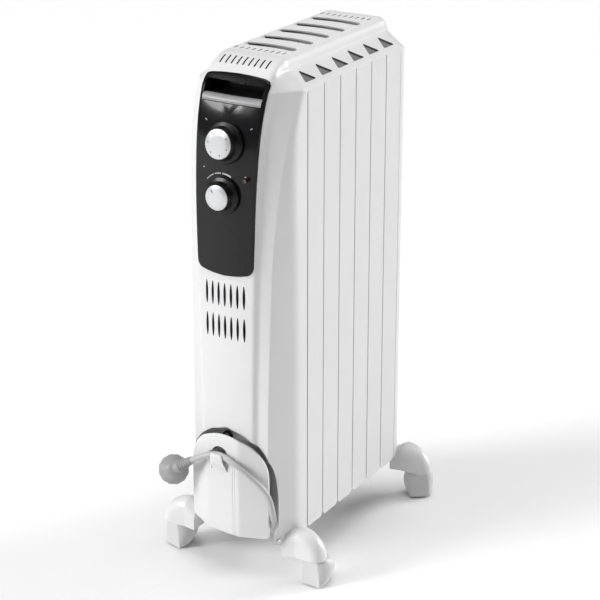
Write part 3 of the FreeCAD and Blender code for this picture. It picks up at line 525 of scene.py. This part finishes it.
def cord_points():
    """The whole cord: out of the wall, the turns in two layers, then the free tail."""
    points = [CORD_EXIT, (-20.0, -41.0, 177.8), (-21.4, -44.6, 174.2), (-25.0, -46.3, 166.4),
              (-30.0, COIL_Y, 156.0), (-33.8, COIL_Y, 145.0)]
    last = round((TURNS + 0.4) * TURN_STEPS)
    points += [turn_point(i / TURN_STEPS) for i in range(1, last)]
    points += [(29.0, -48.0, 66.0), (41.0, -50.4, 72.0)]
    return points + CORD_TAIL


def make_cord():
    curve = bpy.data.curves.new("mains_cord", "CURVE")
    curve.dimensions = "3D"
    points = [place(*p) for p in cord_points()]
    spline = curve.splines.new("NURBS")
    spline.points.add(len(points) - 1)
    for target, point in zip(spline.points, points):
        target.co = (*point, 1)
    spline.order_u = 3
    spline.use_endpoint_u = True
    curve.bevel_depth = CORD_D / 2 * MM
    curve.bevel_resolution = 6
    curve.resolution_u = 6
    curve.materials.append(MATERIALS["cord_pvc"])
    cord = bpy.data.objects.new("mains_cord", curve)
    bpy.context.scene.collection.objects.link(cord)
    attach(cord, BODY)
    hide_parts("mains_cord_winding", "mains_cord_tail")


# ---- plug ----
RELIEF_DIR = Vector((0.802, -0.107, 0.588)).normalized()
PIN_DIR = Vector((-0.55, 0.72, -0.42)).normalized()
PLUG_REACH = 35.0
NECK_R, NECK_TAPER, RIB_DEPTH = 9.6, 5.0, 1.5


def plug_frame():
    """Matrix whose Y is the pins' direction, placed at the plug's centre, in metres."""
    centre = place(*(Vector(CORD_TAIL[-1]) - RELIEF_DIR * PLUG_REACH))
    y = PIN_DIR
    x = (RELIEF_DIR - y * RELIEF_DIR.dot(y)).normalized()
    z = x.cross(y)
    turn = Matrix((x, y, z)).transposed().to_4x4()
    return Matrix.Translation(centre) @ turn


def plug_neck(local):
    """Tapered strain relief with ribs, from inside the head out to the cord."""
    along_x = RELIEF_DIR.dot(local.to_3x3().col[0])
    along_y = RELIEF_DIR.dot(local.to_3x3().col[1])
    ribs, per_rib, around = 9, 6, 28
    rings = []
    for i in range(ribs * per_rib + 1):
        t = i / (ribs * per_rib)
        reach = 4 + (PLUG_REACH - 3) * t
        radius = NECK_R - NECK_TAPER * t ** 0.8
        if 0.36 < t < 0.97 and (i % per_rib) in (2, 3, 4):
            radius -= RIB_DEPTH * (1 - 0.4 * t)
        ring = []
        for a in (2 * math.pi * k / around for k in range(around)):
            ring.append((along_x * reach + radius * math.cos(a) * -along_y,
                         along_y * reach + radius * math.cos(a) * along_x, radius * math.sin(a)))
        rings.append(ring)
    return tube_solid("plug_neck", rings, local)


def make_plug():
    """Round head with a grooved rim, from the cord's side to the pins' side, and the neck."""
    head = [(0.01, -11.5), (7, -11.2), (9.5, -9.6), (11.5, -6.5), (14.5, -3.0), (17.2, -1.0),
            (18.2, 0.6), (18.6, 2.5), (18.6, 8.5), (18.0, 10.6), (16.6, 11.8), (15.6, 11.9),
            (15.2, 11.0), (0.01, 11.0)]
    local, around, grooves = plug_frame(), 120, 12
    loops = []
    for (r, _), loop in zip(head, lathe(head, around)):
        depth = 0.03 * min(1.0, max(0.0, (r - 15.5) / 2.0))
        grip = [1 - depth * (0.5 + 0.5 * math.cos(grooves * math.pi * 2 * k / around)) ** 2
                for k in range(around)]
        loops.append([(x * g, y, z * g) for (x, y, z), g in zip(loop, grip)])
    plug = tube_solid("plug_head", loops, local)
    boolean(plug, plug_neck(local), "UNION")
    plug.name = "plug_moulding"
    return finish_piece(plug, PLUG, ["plug_body"])


# ---- front cover ----
FOOT_RISE, FACE_DEPTH = 9.0, 66.7      # the lower edge rises towards the front, over this depth
CROWN_START = 600.0                    # from here up an inset also lowers the surface
VENT_PITCH, VENT_HEIGHT, VENT_HALF = 8.5, 29.0, 1.75
SLIT_PITCH, SLIT_LENGTH, SLIT_WIDTH = 7.7, 11, 2.0
RIM_FOOT, RIM_FADE, RIM_ARCH = 84.0, 30.0, 140.0
EAR_X, EAR_Y, EAR_SLOPE = 51.9, -60.4, 1.9843          # a point and the slope of the side's plane


def cover_block(name, inset=0.0):
    """Closed block inside the front cover's surface; an inset one runs out at the foot and behind."""
    verts, rows = [], COVER_ROWS
    for row in rows:
        half = plan_half(row, inset)
        loop = [(-x, y) for x, y in reversed(half[1:])] + half
        lowest = row is rows[0]
        z = row[0] - inset * min(1.0, max(0.0, (row[0] - CROWN_START) / (SHOULDER_Z - CROWN_START)))
        below = 8.0 if inset and lowest else 0.0
        for x, y in loop:
            rise = FOOT_RISE * max(0.0, -y) / FACE_DEPTH if lowest else 0.0
            behind = 0.5 if inset and y > -0.01 else 0
            verts.append((x, y + behind, z + rise - below))
    cols = len(loop)
    faces = grid_faces(len(rows), cols)
    last = (len(rows) - 1) * cols
    faces.append(tuple(range(cols)))
    faces.append(tuple(range(last, last + cols)))
    left = [r * cols for r in range(len(rows))]
    right = [r * cols + cols - 1 for r in range(len(rows))]
    faces.append(tuple(left + right[::-1]))
    return new_object(name, verts, faces)


def lens_slot(x, z0, z1, half, y0, y1):
    """Cutter along Y for an upright slot that is widest in its middle."""
    outline, middle, reach = [], (z0 + z1) / 2, (z1 - z0) / 2
    for i in range(9):
        t = -1 + 2 * i / 8
        outline.append((x + half * max(0.12, (1 - t * t)) ** 0.6, y0, middle + reach * t))
    outline += [(2 * x - px, y, pz) for px, y, pz in reversed(outline)]
    return prism("slot", outline, (0, y1 - y0, 0))


def long_slit(x, y, length, width, z0=636.0, z1=656.0):
    """Upright cutter for a narrow slit along Y with round ends."""
    outline = []
    for end, start in ((y + length / 2, 0), (y - length / 2, 180)):
        for i in range(7):
            a = math.radians(start + 180 * i / 6)
            outline.append((x + width / 2 * math.cos(a), end + width / 2 * math.sin(a), z0))
    return prism("slit", outline, (0, 0, z1 - z0))


def control_holes():
    """Cutters for the two spindles, square to the dials' faces."""
    out = []
    for face, lean, _ in (THERMOSTAT, POWER):
        turn = Matrix.Rotation(math.radians(-lean), 3, "X")
        angles = (2 * math.pi * i / 24 for i in range(24))
        circle = [Vector((SPINDLE_HOLE_R * math.cos(a), 5, SPINDLE_HOLE_R * math.sin(a))) for a in angles]
        ring = [tuple(face + turn @ point) for point in circle]
        out.append(prism("hole", ring, tuple(turn @ Vector((0, 40, 0)))))
    return out


def store_opening():
    """Cutter of the cord store's mouth: an arch that narrows below, with a soft slanted rim."""
    half = [(55.0, 40.0), (55.0, 70.0), (58.5, 80.0), (59.0, 96.0), (58.5, 112.0), (57.5, 128.0),
            (56.0, 146.0), (53.0, 160.0), (47.0, 173.5), (38.0, 184.5), (22.5, 196.0), (0.0, 203.0)]
    right = round_corner(half, [4] * 10)
    chain = right + [(-x, z) for x, z in reversed(right[:-1])]
    loops = []
    for y, grow in ((-100, 4.0), (-62, 3.6), (-57, 2.4), (-52, 1.2), (-47, 0.2), (-36, 0.0), (-20, 0.0)):
        loop = []
        for x, z in chain:
            rise = min(1.0, max(0.0, (z - RIM_FOOT) / RIM_FADE))
            above = max(0.0, z - RIM_ARCH)
            away = math.hypot(x, above) or 1.0
            loop.append((x + grow * rise * x / away, y, z + grow * rise * above / away))
        loops.append(loop)
    return tube_solid("store", loops)


def cover_ear(side):
    """Tab at a lower corner of the cover that takes a screw."""
    outline = ((53.0, 72.0), (53.0, 61.0), (54.4, 57.4), (57.0, 54.0), (60.0, 52.0), (62.2, 53.0),
               (63.2, 56.0), (63.4, 72.0))
    points = [(side * x, EAR_Y + (x - EAR_X) * EAR_SLOPE, z) for x, z in outline]
    return prism("ear", points, (-2.2 * side, 1.1, 0))


def shade_sheet(x0, x1, y0, y1, z0, z1):
    """Dark sheet behind a group of openings: painted shade for the dark seen through them."""
    return rounded_box(x0, x1, y0, y1, z0, z1, 1.0)


def with_dark_inside(obj, inside, dark):
    """The object joined with pieces in a darker material, while its own faces keep theirs; the pieces are
    painted shade.
    """
    first = len(obj.data.polygons)
    skins = list(obj.data.materials)
    out = joined(obj.name, [obj] + inside)
    for skin in skins + [dark]:
        out.data.materials.append(skin)
    for polygon in list(out.data.polygons)[first:]:
        polygon.material_index = len(skins)
    return out


def make_front_cover():
    """Hollow moulding with its screw tabs, vents, spindle holes, finger opening and store mouth."""
    cover = cover_block("front_cover_skin")
    boolean(cover, cover_block("inside", inset=WALL))
    for side in (-1, 1):
        boolean(cover, cover_ear(side), "UNION")
    cutters = [lens_slot((i - 3) * VENT_PITCH, low, low + VENT_HEIGHT, VENT_HALF, -85, -50)
               for low in (361.5, 321.0) for i in range(7)]
    cutters += [long_slit((i - 4) * SLIT_PITCH, -19.5, SLIT_LENGTH, SLIT_WIDTH, 628) for i in range(9)]
    cutters += control_holes()
    cutters.append(rounded_box(-41, 41, -90, -8, 606.5, 627, 3))
    cover.data.materials.append(MATERIALS["white_plastic"])
    # The cut walls of the vents, slits, spindle holes and finger opening take the black rubber material:
    # painted shade inside the openings.
    boolean(cover, joined("cutters", cutters), lining=MATERIALS["gasket_rubber"])
    boolean(cover, store_opening())
    boolean(cover, rounded_box(-80, 80, -1.1, 6, 40, 612, 0.3))
    # Dark sheets behind the vents and behind the crown's slits: painted shade for the dark seen through them.
    inside = [shade_sheet(-31, 31, -60, -59, 314, 397), shade_sheet(-36, 36, -27, -13, 633.0, 634.0)]
    cover = with_dark_inside(cover, inside, MATERIALS["gasket_rubber"])
    return finish_piece(cover, None, ["front_cover"])


def make_tray():
    """The recess behind the mouth, open in front and at the foot, with 2 mm walls."""
    tray = prism("cord_store_tray", arch_outline(STORE_HALF, STORE_TOP, 63, -47), (0, 13, 0))
    boolean(tray, prism("room", arch_outline(STORE_HALF - 2, STORE_TOP - 2, 40, -110), (0, 74, 0)))
    return finish_piece(tray, MATERIALS["white_plastic"], ["cord_tray"])


# ---- control panel ----
PANEL_PROUD = 2.05                     # how far the panel's face stands off the cover
PANEL_SPINE = (445, 590)               # heights between which the panel's insets run straight inward
GRIP_HALF, GRIP_END, LIP_FOOT, LIP_RISE = 39.3, 39.6, 601.4, 7.8


def panel_outline():
    """Outline of the black panel as (x, z), with a rounded corner at each inner point."""
    half = [(0.0, 400.5), (18, 401.8), (33.5, 405.0), (38.0, 411.5), (39.0, 440), (41.6, 540),
            (44.0, 616), (44.2, 627.0), (38.0, 630.8), (20, 632.6), (0.0, 633.2)]
    right = round_corner(half, (6, 6, 4, 6, 20, 20, 5, 4, 6, 6))
    return right + [(-x, z) for x, z in reversed(right[1:-1])]


def make_panel():
    """Shell that follows the cover's face; each step is an inset from the edge and a height."""
    steps = [(0.0, -1.5), (0.0, 0.9), (0.15, 1.35), (0.5, 1.75), (1.1, 1.98)]
    steps += [(inset, PANEL_PROUD) for inset in (2.0, 5, 10, 17, 25, 33, 200)]
    loops = []
    for inset, height in steps:
        loop = []
        for x, z in panel_outline():
            cz = min(max(z, PANEL_SPINE[0]), PANEL_SPINE[1])
            t = min(0.97, inset / math.hypot(x, z - cz))
            px, pz = x * (1 - t), z + (cz - z) * t
            loop.append((px, front_y(px, pz) - height, pz))
        loops.append(loop)
    panel = tube_solid("control_panel_face", loops)
    cutters = control_holes() + [rounded_box(-39.5, 39.5, -90, -10, 601.2, 625, 3.2)]
    boolean(panel, joined("cutters", cutters))
    weighted = panel.modifiers.new("normals", "WEIGHTED_NORMAL")
    weighted.keep_sharp = True
    weighted.weight = 100
    return finish_piece(panel, MATERIALS["panel_black"], ["control_panel"], angle=28)


def make_grip():
    """The finger recess: a black pocket and a grey lip that rolls into it from the panel."""
    wall = [(30.0, 609.4), (33.5, 611.0), (33.5, 622.0), (31.0, 624.6), (1.5, 624.9)]
    outer = [(1.5, 626.5), (33.0, 626.5), (35.5, 623), (35.5, 607), (32.5, 605.6), (2.5, 605.0), (2.5, 609.0)]
    lip = [(-0.5, LIP_FOOT), (-2.2, 602.0), (-2.9, 603.2), (-3.0, 605.4), (-2.7, 607.4), (-1.4, 608.8),
           (1.0, 609.3), (4.0, 609.2), (4.0, 606.0), (3.0, 605.6), (2.4, LIP_FOOT)]
    pocket, ledge = [], []
    for x in (-GRIP_HALF + 2 * GRIP_HALF * i / 40 for i in range(41)):
        pocket.append([(x, -52.0 + depth, z) if depth > 5 else (x, front_y(x, z) + depth, z)
                       for depth, z in wall + outer])
        near, base = front_y(x, 601.5), front_y(x, 609.0)
        ledge.append([(x, near + (base - near) * min(1.0, (z - LIP_FOOT) / LIP_RISE) + depth, z)
                      for depth, z in lip])
    end_y = front_y(GRIP_END, 625) + 2.6
    ends = [rounded_box(side * GRIP_END - 0.6, side * GRIP_END + 0.6, end_y, -17, 606, 626, 0.5)
            for side in (-1, 1)]
    cup = joined("finger_pocket", [tube_solid("pocket", pocket)] + ends)
    finish_piece(cup, MATERIALS["panel_black"], ["handle_cup"], angle=40)
    tab_y = front_y(8, 626)
    tab = rounded_box(5.0, 11.0, tab_y - 0.6, tab_y + 3.0, 622.5, 626.5, 0.8)
    finish_piece(tab, MATERIALS["knob_black"], (), angle=40)
    finish_piece(tube_solid("finger_ledge", ledge), MATERIALS["grip_grey"], (), angle=40)


# ---- dials ----
def control_matrix(control):
    face, lean, _ = control
    return Matrix.Translation(place(*face)) @ Matrix.Rotation(math.radians(-lean), 4, "X")


def make_dial(label, control, cap_r, skirt_r, depth, ticks):
    """Black grip, silver face and its marks; a tick is an angle from the top and a length."""
    local, body = control_matrix(control), control[2]
    profile = [(0.01, 1.0), (cap_r - 0.3, 1.0), (cap_r + 0.1, 0.4), (cap_r + 0.7, 0.5), (cap_r + 1.1, 1.4),
               (cap_r + 1.4, 3.0), (cap_r + 1.9, depth - 6.6), (cap_r + 2.5, depth - 5.4),
               (skirt_r - 2.0, depth - 4.4), (skirt_r - 0.6, depth - 3.8), (skirt_r, depth - 2.8),
               (skirt_r, depth - 0.4), (skirt_r - 0.4, depth), (0.01, depth)]
    grip = tube_solid(label + "_grip", lathe(profile), local)
    finish_piece(grip, MATERIALS["knob_black"], [label + "_knob"], body)
    face = [(0.01, -0.45), (cap_r * 0.5, -0.4), (cap_r - 3.4, -0.25), (cap_r - 2.6, 0.05),
            (cap_r - 1.4, 0.1), (cap_r - 0.6, 0.35), (cap_r - 0.25, 0.9), (cap_r - 0.3, 1.3), (0.01, 1.3)]
    disc = tube_solid(label + "_face", lathe(face), local)
    finish_piece(disc, MATERIALS["knob_silver"], [label + "_knob_cap"], body)
    bars = []
    for angle, reach in ticks:
        a = math.radians(angle)
        out, across = Vector((math.sin(a), 0, math.cos(a))), Vector((math.cos(a), 0, -math.sin(a)))
        near, far = cap_r - 4.2 - reach, cap_r - 3.8
        corners = [out * r + across * w for r, w in ((near, -0.35), (near, 0.35), (far, 0.5), (far, -0.5))]
        sides = [[tuple(corner + Vector((0, y, 0))) for corner in corners] for y in (-0.62, 0.2)]
        bars.append(tube_solid("tick", sides, local))
    marks = joined(label + "_marks", bars)
    marks.matrix_world = local
    finish_piece(marks, MATERIALS["knob_black"], (), body)


def strip(points, widths, height=0.12):
    """Thin printed line on the panel through points given as (x, z), with a width at each."""
    loops = []
    for i, ((x, z), width) in enumerate(zip(points, widths)):
        ax, az = points[max(0, i - 1)]
        bx, bz = points[min(len(points) - 1, i + 1)]
        length = math.hypot(bx - ax, bz - az)
        nx, nz = -(bz - az) / length, (bx - ax) / length
        loop = []
        for side, lift in ((-1, 2.0), (1, 2.0), (1, PANEL_PROUD + height), (-1, PANEL_PROUD + height)):
            px, pz = x + nx * width / 2 * side, z + nz * width / 2 * side
            loop.append((px, front_y(px, pz) - lift, pz))
        loops.append(loop)
    return tube_solid("line", loops)


def ring_part(cx, cz, radius, start, end, count=24):
    """Points of an arc, angles in degrees clockwise from the top."""
    angles = [math.radians(start + (end - start) * i / count) for i in range(count + 1)]
    return [(cx + radius * math.sin(a), cz + radius * math.cos(a)) for a in angles]


SCALE_X, SCALE_Z, SCALE_R = -2.5, 496.8, 26.4


def make_prints():
    """Generic scale above the lower dial and plain marks beside the dials."""
    lines = []
    for start, end, w0, w1 in ((-50, -25, 0.7, 1.0), (-21.5, -3, 1.0, 1.3), (1, 27, 1.4, 1.9)):
        path = ring_part(SCALE_X, SCALE_Z, SCALE_R, start, end)
        lines.append(strip(path, [w0 + (w1 - w0) * i / (len(path) - 1) for i in range(len(path))]))
    for x, z, dx, dz in ((-28.0, 580.0, -2.2, 1.9), (30.5, 577.0, 2.4, 1.7), (-29.0, 527.0, 2.0, 0.0),
                         (27.0, 523.0, 2.0, 0.0)):
        lines.append(strip([(x, z), (x + dx, z + dz)], (0.8, 0.8)))
    finish_piece(joined("panel_marks", lines), PRINT, ())


# ---- top cover ----
SLOT_REACH, SCOOP_RUN, SCOOP_DROP, SLOT_BOW = 35.0, 15.0, 4.6, 5.0
SLOT_WIDEN = 4.2                       # how much wider a slot is in its middle than at its ends
CROWN_EDGE = 645                       # only points above this height belong to the crown
TOP_SHEET, TOP_SLIT_PITCH = 1.6, 8.2
OUTLET_LOW, OUTLET_HIGH = 8.4, 26.6    # along the slope, from its lower edge
OUTLET_HALF, OUTLET_LEAN = 12.6, -4.2  # along Y, half of the base and the place of the tip


def slot_bow(x, y):
    """How far the slots' line lies behind their ends, fading out at both ends of the crown."""
    fade = min(1.0, max(0.0, y / 18.0)) * min(1.0, max(0.0, (STACK - y) / 18.0))
    return SLOT_BOW * max(0.0, 1 - (x / SLOT_REACH) ** 2) * fade


def scoop_drop(x, y):
    """How far the crown dips in front of the nearest slot."""
    side = smooth(min(1.0, max(0.0, (SLOT_REACH + 2.0 - abs(x)) / 4.0)))
    for k in range(1, FIN_COUNT):
        before = k * FIN_PITCH - y
        if 1e-4 < before <= SCOOP_RUN:
            fade = min(1.0, 0.55 + 0.45 * (1 - (x / SLOT_REACH) ** 2))
            return SCOOP_DROP * smooth(1 - before / SCOOP_RUN) * side * fade
    return 0.0


def top_stations():
    """Stations along the top, closer together in front of each slot."""
    marks = {0.0, STACK}
    for k in range(FIN_COUNT):
        marks.update(k * FIN_PITCH + step for step in (5, 10, 15, 20))
    for k in range(1, FIN_COUNT):
        y = k * FIN_PITCH
        marks.update(y - step for step in (15, 13, 11, 9.5, 8, 6.5, 5, 3.6, 2.4, 1.5, 0.7, 0.1))
        marks.update((y, y + 0.6, y + 1.6))
    return sorted(marks)


def top_path():
    """Points across the top as (x, z), from the right lower edge to the left one."""
    half = SHOULDER_PATH + [(CROWN_HALF - CROWN_HALF * i / 18, CROWN_Z) for i in range(1, 19)]
    return half + [(-x, z) for x, z in reversed(half[:-1])]


def crown_slot(k):
    """Cutter for a bowed cross slot that is wide over most of its length and narrow at its ends."""
    y, reach = k * FIN_PITCH, SLOT_REACH - 1.5
    xs = [reach - 2 * reach * i / 24 for i in range(25)]
    outline = [(x, y + 0.5 + slot_bow(x, y), 638) for x in xs]
    outline += [(x, y + 0.3 - SLOT_WIDEN * (1 - (x / reach) ** 6) + slot_bow(x, y), 638)
                for x in reversed(xs)]
    return prism("slot", outline, (0, 0, 18))


def slope_triangle(side, k):
    """Cutter for the triangular outlet in the shoulder's slope above a fin."""
    slope = Vector((SLOPE_TOP[0] - SIDE_X, 0, SLOPE_TOP[1] - SHOULDER_Z)).normalized()
    up = Vector((slope.x * side, 0, slope.z))
    normal = Vector((slope.z * side, 0, abs(slope.x)))
    base = Vector((SIDE_X * side, k * FIN_PITCH + FIN_PITCH / 2, SHOULDER_Z))
    corners = ((OUTLET_LOW, -OUTLET_HALF), (OUTLET_LOW, OUTLET_HALF), (OUTLET_HIGH, OUTLET_LEAN))
    near, far, tip = (base + up * rise + Vector((0, along, 0)) for rise, along in corners)
    middle = tuple(lerp(near, far, 0.5))
    chain = round_corner([middle, tuple(far), tuple(tip), tuple(near), middle], (3.0, 3.0, 3.0), 5)
    return prism("hole", [tuple(Vector(p) - normal * 7) for p in chain[:-1]], tuple(normal * 14))


def shade_liner(corners):
    """Sheet along the top, just below its openings, from its section as (x, z): painted shade seen through
    the openings.
    """
    return prism("shade_liner", [(x, 2.0, z) for x, z in corners], (0, STACK - 4, 0))


def make_top():
    """Pressed sheet with its slots, slits and triangular outlets; the walls of the cuts and the dark and grey
    sheets below them are painted shade.
    """
    path, stations = top_path(), top_stations()

    def sheet(depth, narrow):
        """Loops across the top, one at each station, with the bow and the dips of the crown."""
        loops = []
        for y in stations:
            loop = []
            for x, z in ((x * narrow, z) for x, z in path):
                bow, dip = (slot_bow(x, y), scoop_drop(x, y)) if z > CROWN_EDGE else (0, 0)
                loop.append((x, y + bow, z - depth - dip))
            loops.append(loop)
        return loops

    outer, inner = sheet(0.0, 1.0), sheet(TOP_SHEET, 0.985)
    top = tube_solid("top_cover_skin", [a + b[::-1] for a, b in zip(outer, inner)])
    slots = [crown_slot(k) for k in range(1, FIN_COUNT)]
    outlets = [long_slit((i - 4) * TOP_SLIT_PITCH, y, 8.0, SLIT_WIDTH)
               for y in (12.0, STACK - 14.0) for i in range(9)]
    outlets += [slope_triangle(side, k) for side in (-1, 1) for k in range(FIN_COUNT)]
    top.data.materials.append(MATERIALS["white_enamel"])
    # The slots' cut walls take the grey painted shade.
    boolean(top, joined("cutters", slots), lining=SLOT_SHADE)
    # The outlets' cut walls take the dark painted shade.
    boolean(top, joined("cutters", outlets), lining=INSIDE_SHADE)
    slope = ((69.4, 615.0), (45.4, 632.2), (45.0, 631.6), (69.0, 614.4))
    crown = ((-41.5, 640.0), (41.5, 640.0), (41.5, 639.4), (-41.5, 639.4))
    # Sheets just below the openings as painted shade: dark under the slope's outlets, grey under the crown.
    dark = [shade_liner([(side * x, z) for x, z in slope]) for side in (-1, 1)]
    grey = [shade_liner(crown)]
    top = with_dark_inside(top, dark, INSIDE_SHADE)
    top = with_dark_inside(top, grey, SLOT_SHADE)
    return finish_piece(top, None, ["top_cover"], angle=30)


# ---- cord store plate ----
CLIP_X = -3.8
PLATE_HALF, PLATE_TOP, PLATE_LOW = 54.0, 201.0, 71.5
PLATE_Y, PLATE_RIDGE, RIDGE_SOFT, FACET_SLOPE = -81.0, 22.0, 1.1, 0.5317
PLATE_SKIN, PLATE_CORNER, PLATE_SLANT = 3.0, 4.0, 4.5


def plate_y(x):
    """Plan of the plate: an almost flat middle, a soft ridge and a facet beyond it."""
    over = abs(x) - PLATE_RIDGE
    bend = math.log1p(math.exp(min(40.0, over / RIDGE_SOFT)))
    return PLATE_Y + 0.5 * min(1.0, abs(x) / PLATE_RIDGE) + FACET_SLOPE * RIDGE_SOFT * bend


def make_plate():
    """Arch-topped plate with a slanted foot, rounded edges and the openings round the clip."""
    spring = PLATE_TOP - PLATE_HALF
    xs = [0, 3, 6, 9, 12, 15, 17, 19, 20, 21, 22, 23, 24, 26, 29, 33, 37, 41, 44, 47, 49, 50.5, 52, 53,
          53.6, 54]
    xs = [-x for x in reversed(xs[1:])] + xs
    loops = []
    for x in xs:
        high = spring + math.sqrt(max(0.0, PLATE_HALF ** 2 - x * x))
        past = max(0.0, abs(x) - (PLATE_HALF - PLATE_CORNER))
        inward = math.sqrt(max(0.0, PLATE_CORNER ** 2 - past ** 2))
        low = PLATE_LOW - PLATE_SLANT * x / PLATE_HALF + PLATE_CORNER - inward
        zs = [low + (high - low) * t / 12 for t in range(13)]
        front = [(x, plate_y(x), z) for z in zs]
        loops.append(front + [(px, py + PLATE_SKIN, pz) for px, py, pz in reversed(front)])
    plate = tube_solid("cord_store_plate", loops)
    modifier = plate.modifiers.new("edges", "BEVEL")
    modifier.width = 0.9 * MM
    modifier.segments = 3
    modifier.limit_method = "ANGLE"
    modifier.angle_limit = math.radians(45)
    settle(plate)
    reach = 11.5
    arch = [(CLIP_X + reach * math.cos(math.radians(a)), -95, 173.4 + reach * math.sin(math.radians(a)))
            for a in range(0, 181, 12)]
    arch += [(CLIP_X - reach, -95, 170.0), (CLIP_X + reach, -95, 170.0)]
    boolean(plate, prism("arch", arch, (0, 35, 0)))
    boolean(plate, rounded_box(CLIP_X - 14.5, CLIP_X + 14.5, -95, -60, 168, 177, 3.0))
    slits = [rounded_box(x - 0.6, x + 0.6, -95, -60, 153, 163, 0.5) for x in (CLIP_X - 11.3, CLIP_X + 11.3)]
    slits += [rounded_box(x - 0.22, x + 0.22, -95, -80.0, 60, 176, 0.2) for x in (14.2, 17.0)]
    boolean(plate, joined("cutters", slits))
    return finish_piece(plate, MATERIALS["white_plastic"], ["cord_wrap_plate"], angle=30)


def make_clip():
    """Rounded tongue that stands off the plate, over the cord."""
    line = ((-81.2, 153, 10.0), (-81.8, 156.5, 10.0), (-84.2, 160.5, 10.0), (-86.8, 164.5, 9.8),
            (-88.2, 169.0, 9.2), (-88.7, 173.0, 8.6), (-88.6, 176.4, 7.8), (-88.2, 177.4, 6.8))
    loops = []
    for i, (y, z, half) in enumerate(line):
        ay, az, _ = line[max(0, i - 1)]
        by, bz, _ = line[min(len(line) - 1, i + 1)]
        length = math.hypot(by - ay, bz - az)
        ny, nz = (bz - az) / length, -(by - ay) / length
        loop = []
        for a in (2 * math.pi * k / 16 for k in range(16)):
            cx = CLIP_X + half * math.copysign(abs(math.cos(a)) ** 0.35, math.cos(a))
            thick = 0.8 * math.sin(a)
            loop.append((cx, y - ny * thick, z - nz * thick))
        loops.append(loop)
    clip = tube_solid("cord_clip_tongue", loops)
    return finish_piece(clip, MATERIALS["white_plastic"], ["cord_clip"])


# ---- rear cover ----
REAR_FLAT, REAR_DEPTH, REAR_NARROW = 2.5, 19.5, 15.0


def make_rear():
    """Hollow cover with a rounded rear edge and three rows of slots."""
    side = [(SIDE_X, z) for z in (FIN_BASE, 61.0, 64.0, 120, 240, 360, 480, 560, 600, 612)]
    half = side + SHOULDER_PATH + [(CROWN_HALF - CROWN_HALF * i / 8, CROWN_Z) for i in range(1, 9)]
    ring = half + [(-x, z) for x, z in reversed(half[:-1])]

    def section(y, narrow, base):
        """The cover's outline at one depth, drawn in by narrow at its sides and its top."""
        return [(x * (1 - narrow / SIDE_X), y, base + (z - base) * (1 - narrow / (CROWN_Z - FIN_BASE)))
                for x, z in ring]

    loops = [[(x * 0.97, STACK, FIN_BASE + (z - FIN_BASE) * 0.995) for x, z in ring]]
    loops += [section(STACK + 10 * i / 12, 0.0, FIN_BASE) for i in range(3)]
    for a in (math.radians(90 * i / 9) for i in range(10)):
        narrow = REAR_NARROW * (1 - math.cos(a))
        loops.append(section(STACK + REAR_FLAT + REAR_DEPTH * math.sin(a), narrow, FIN_BASE))
    rear = tube_solid("rear_cover_skin", loops)
    inside = [section(STACK + y, narrow, 57) for y, narrow in ((-5, 2.6), (6, 2.6), (14, 6.0), (19, 16.0))]
    boolean(rear, tube_solid("inside", inside))
    cutters = [rounded_box((i - 3) * 12 - 1.7, (i - 3) * 12 + 1.7, STACK + 5, STACK + 40, low, low + 28, 1.6)
               for low in (470, 510, 550) for i in range(7)]
    boolean(rear, joined("cutters", cutters))
    return finish_piece(rear, MATERIALS["white_plastic"], ["rear_cover"])


def make_joint_shadows():
    """Dark strips set just inside the open joints between the flanges: painted shade for the shadow in the
    joints.
    """
    strips = []
    for side in (-1, 1):
        x0, x1 = sorted((side * 66.0, side * 70.4))
        for k in range(FIN_COUNT + 1):
            y = k * FIN_PITCH
            near = y - (0.9 if k == 0 else 0.6)
            strips.append(rounded_box(x0, x1, near, y + 0.6, 66.0, 611.5, 0.15))
    joint_shade = joined("joint_painted_shade", strips)
    finish_piece(joint_shade, MATERIALS["gasket_rubber"], ())


set_camera()
plug_piece = make_plug()
make_cord()
dress_cad()
set_light()
set_floor()
make_front_cover()
make_tray()
make_panel()
make_grip()
make_dial("thermostat", THERMOSTAT, 17.6, 24.5, 15.8, [(a, 1.5) for a in range(0, 331, 55)])
make_dial("power", POWER, 15.2, 22.0, 14.6, [(-40, 4.0)])
make_prints()
make_top()
make_plate()
make_clip()
make_rear()
make_joint_shadows()
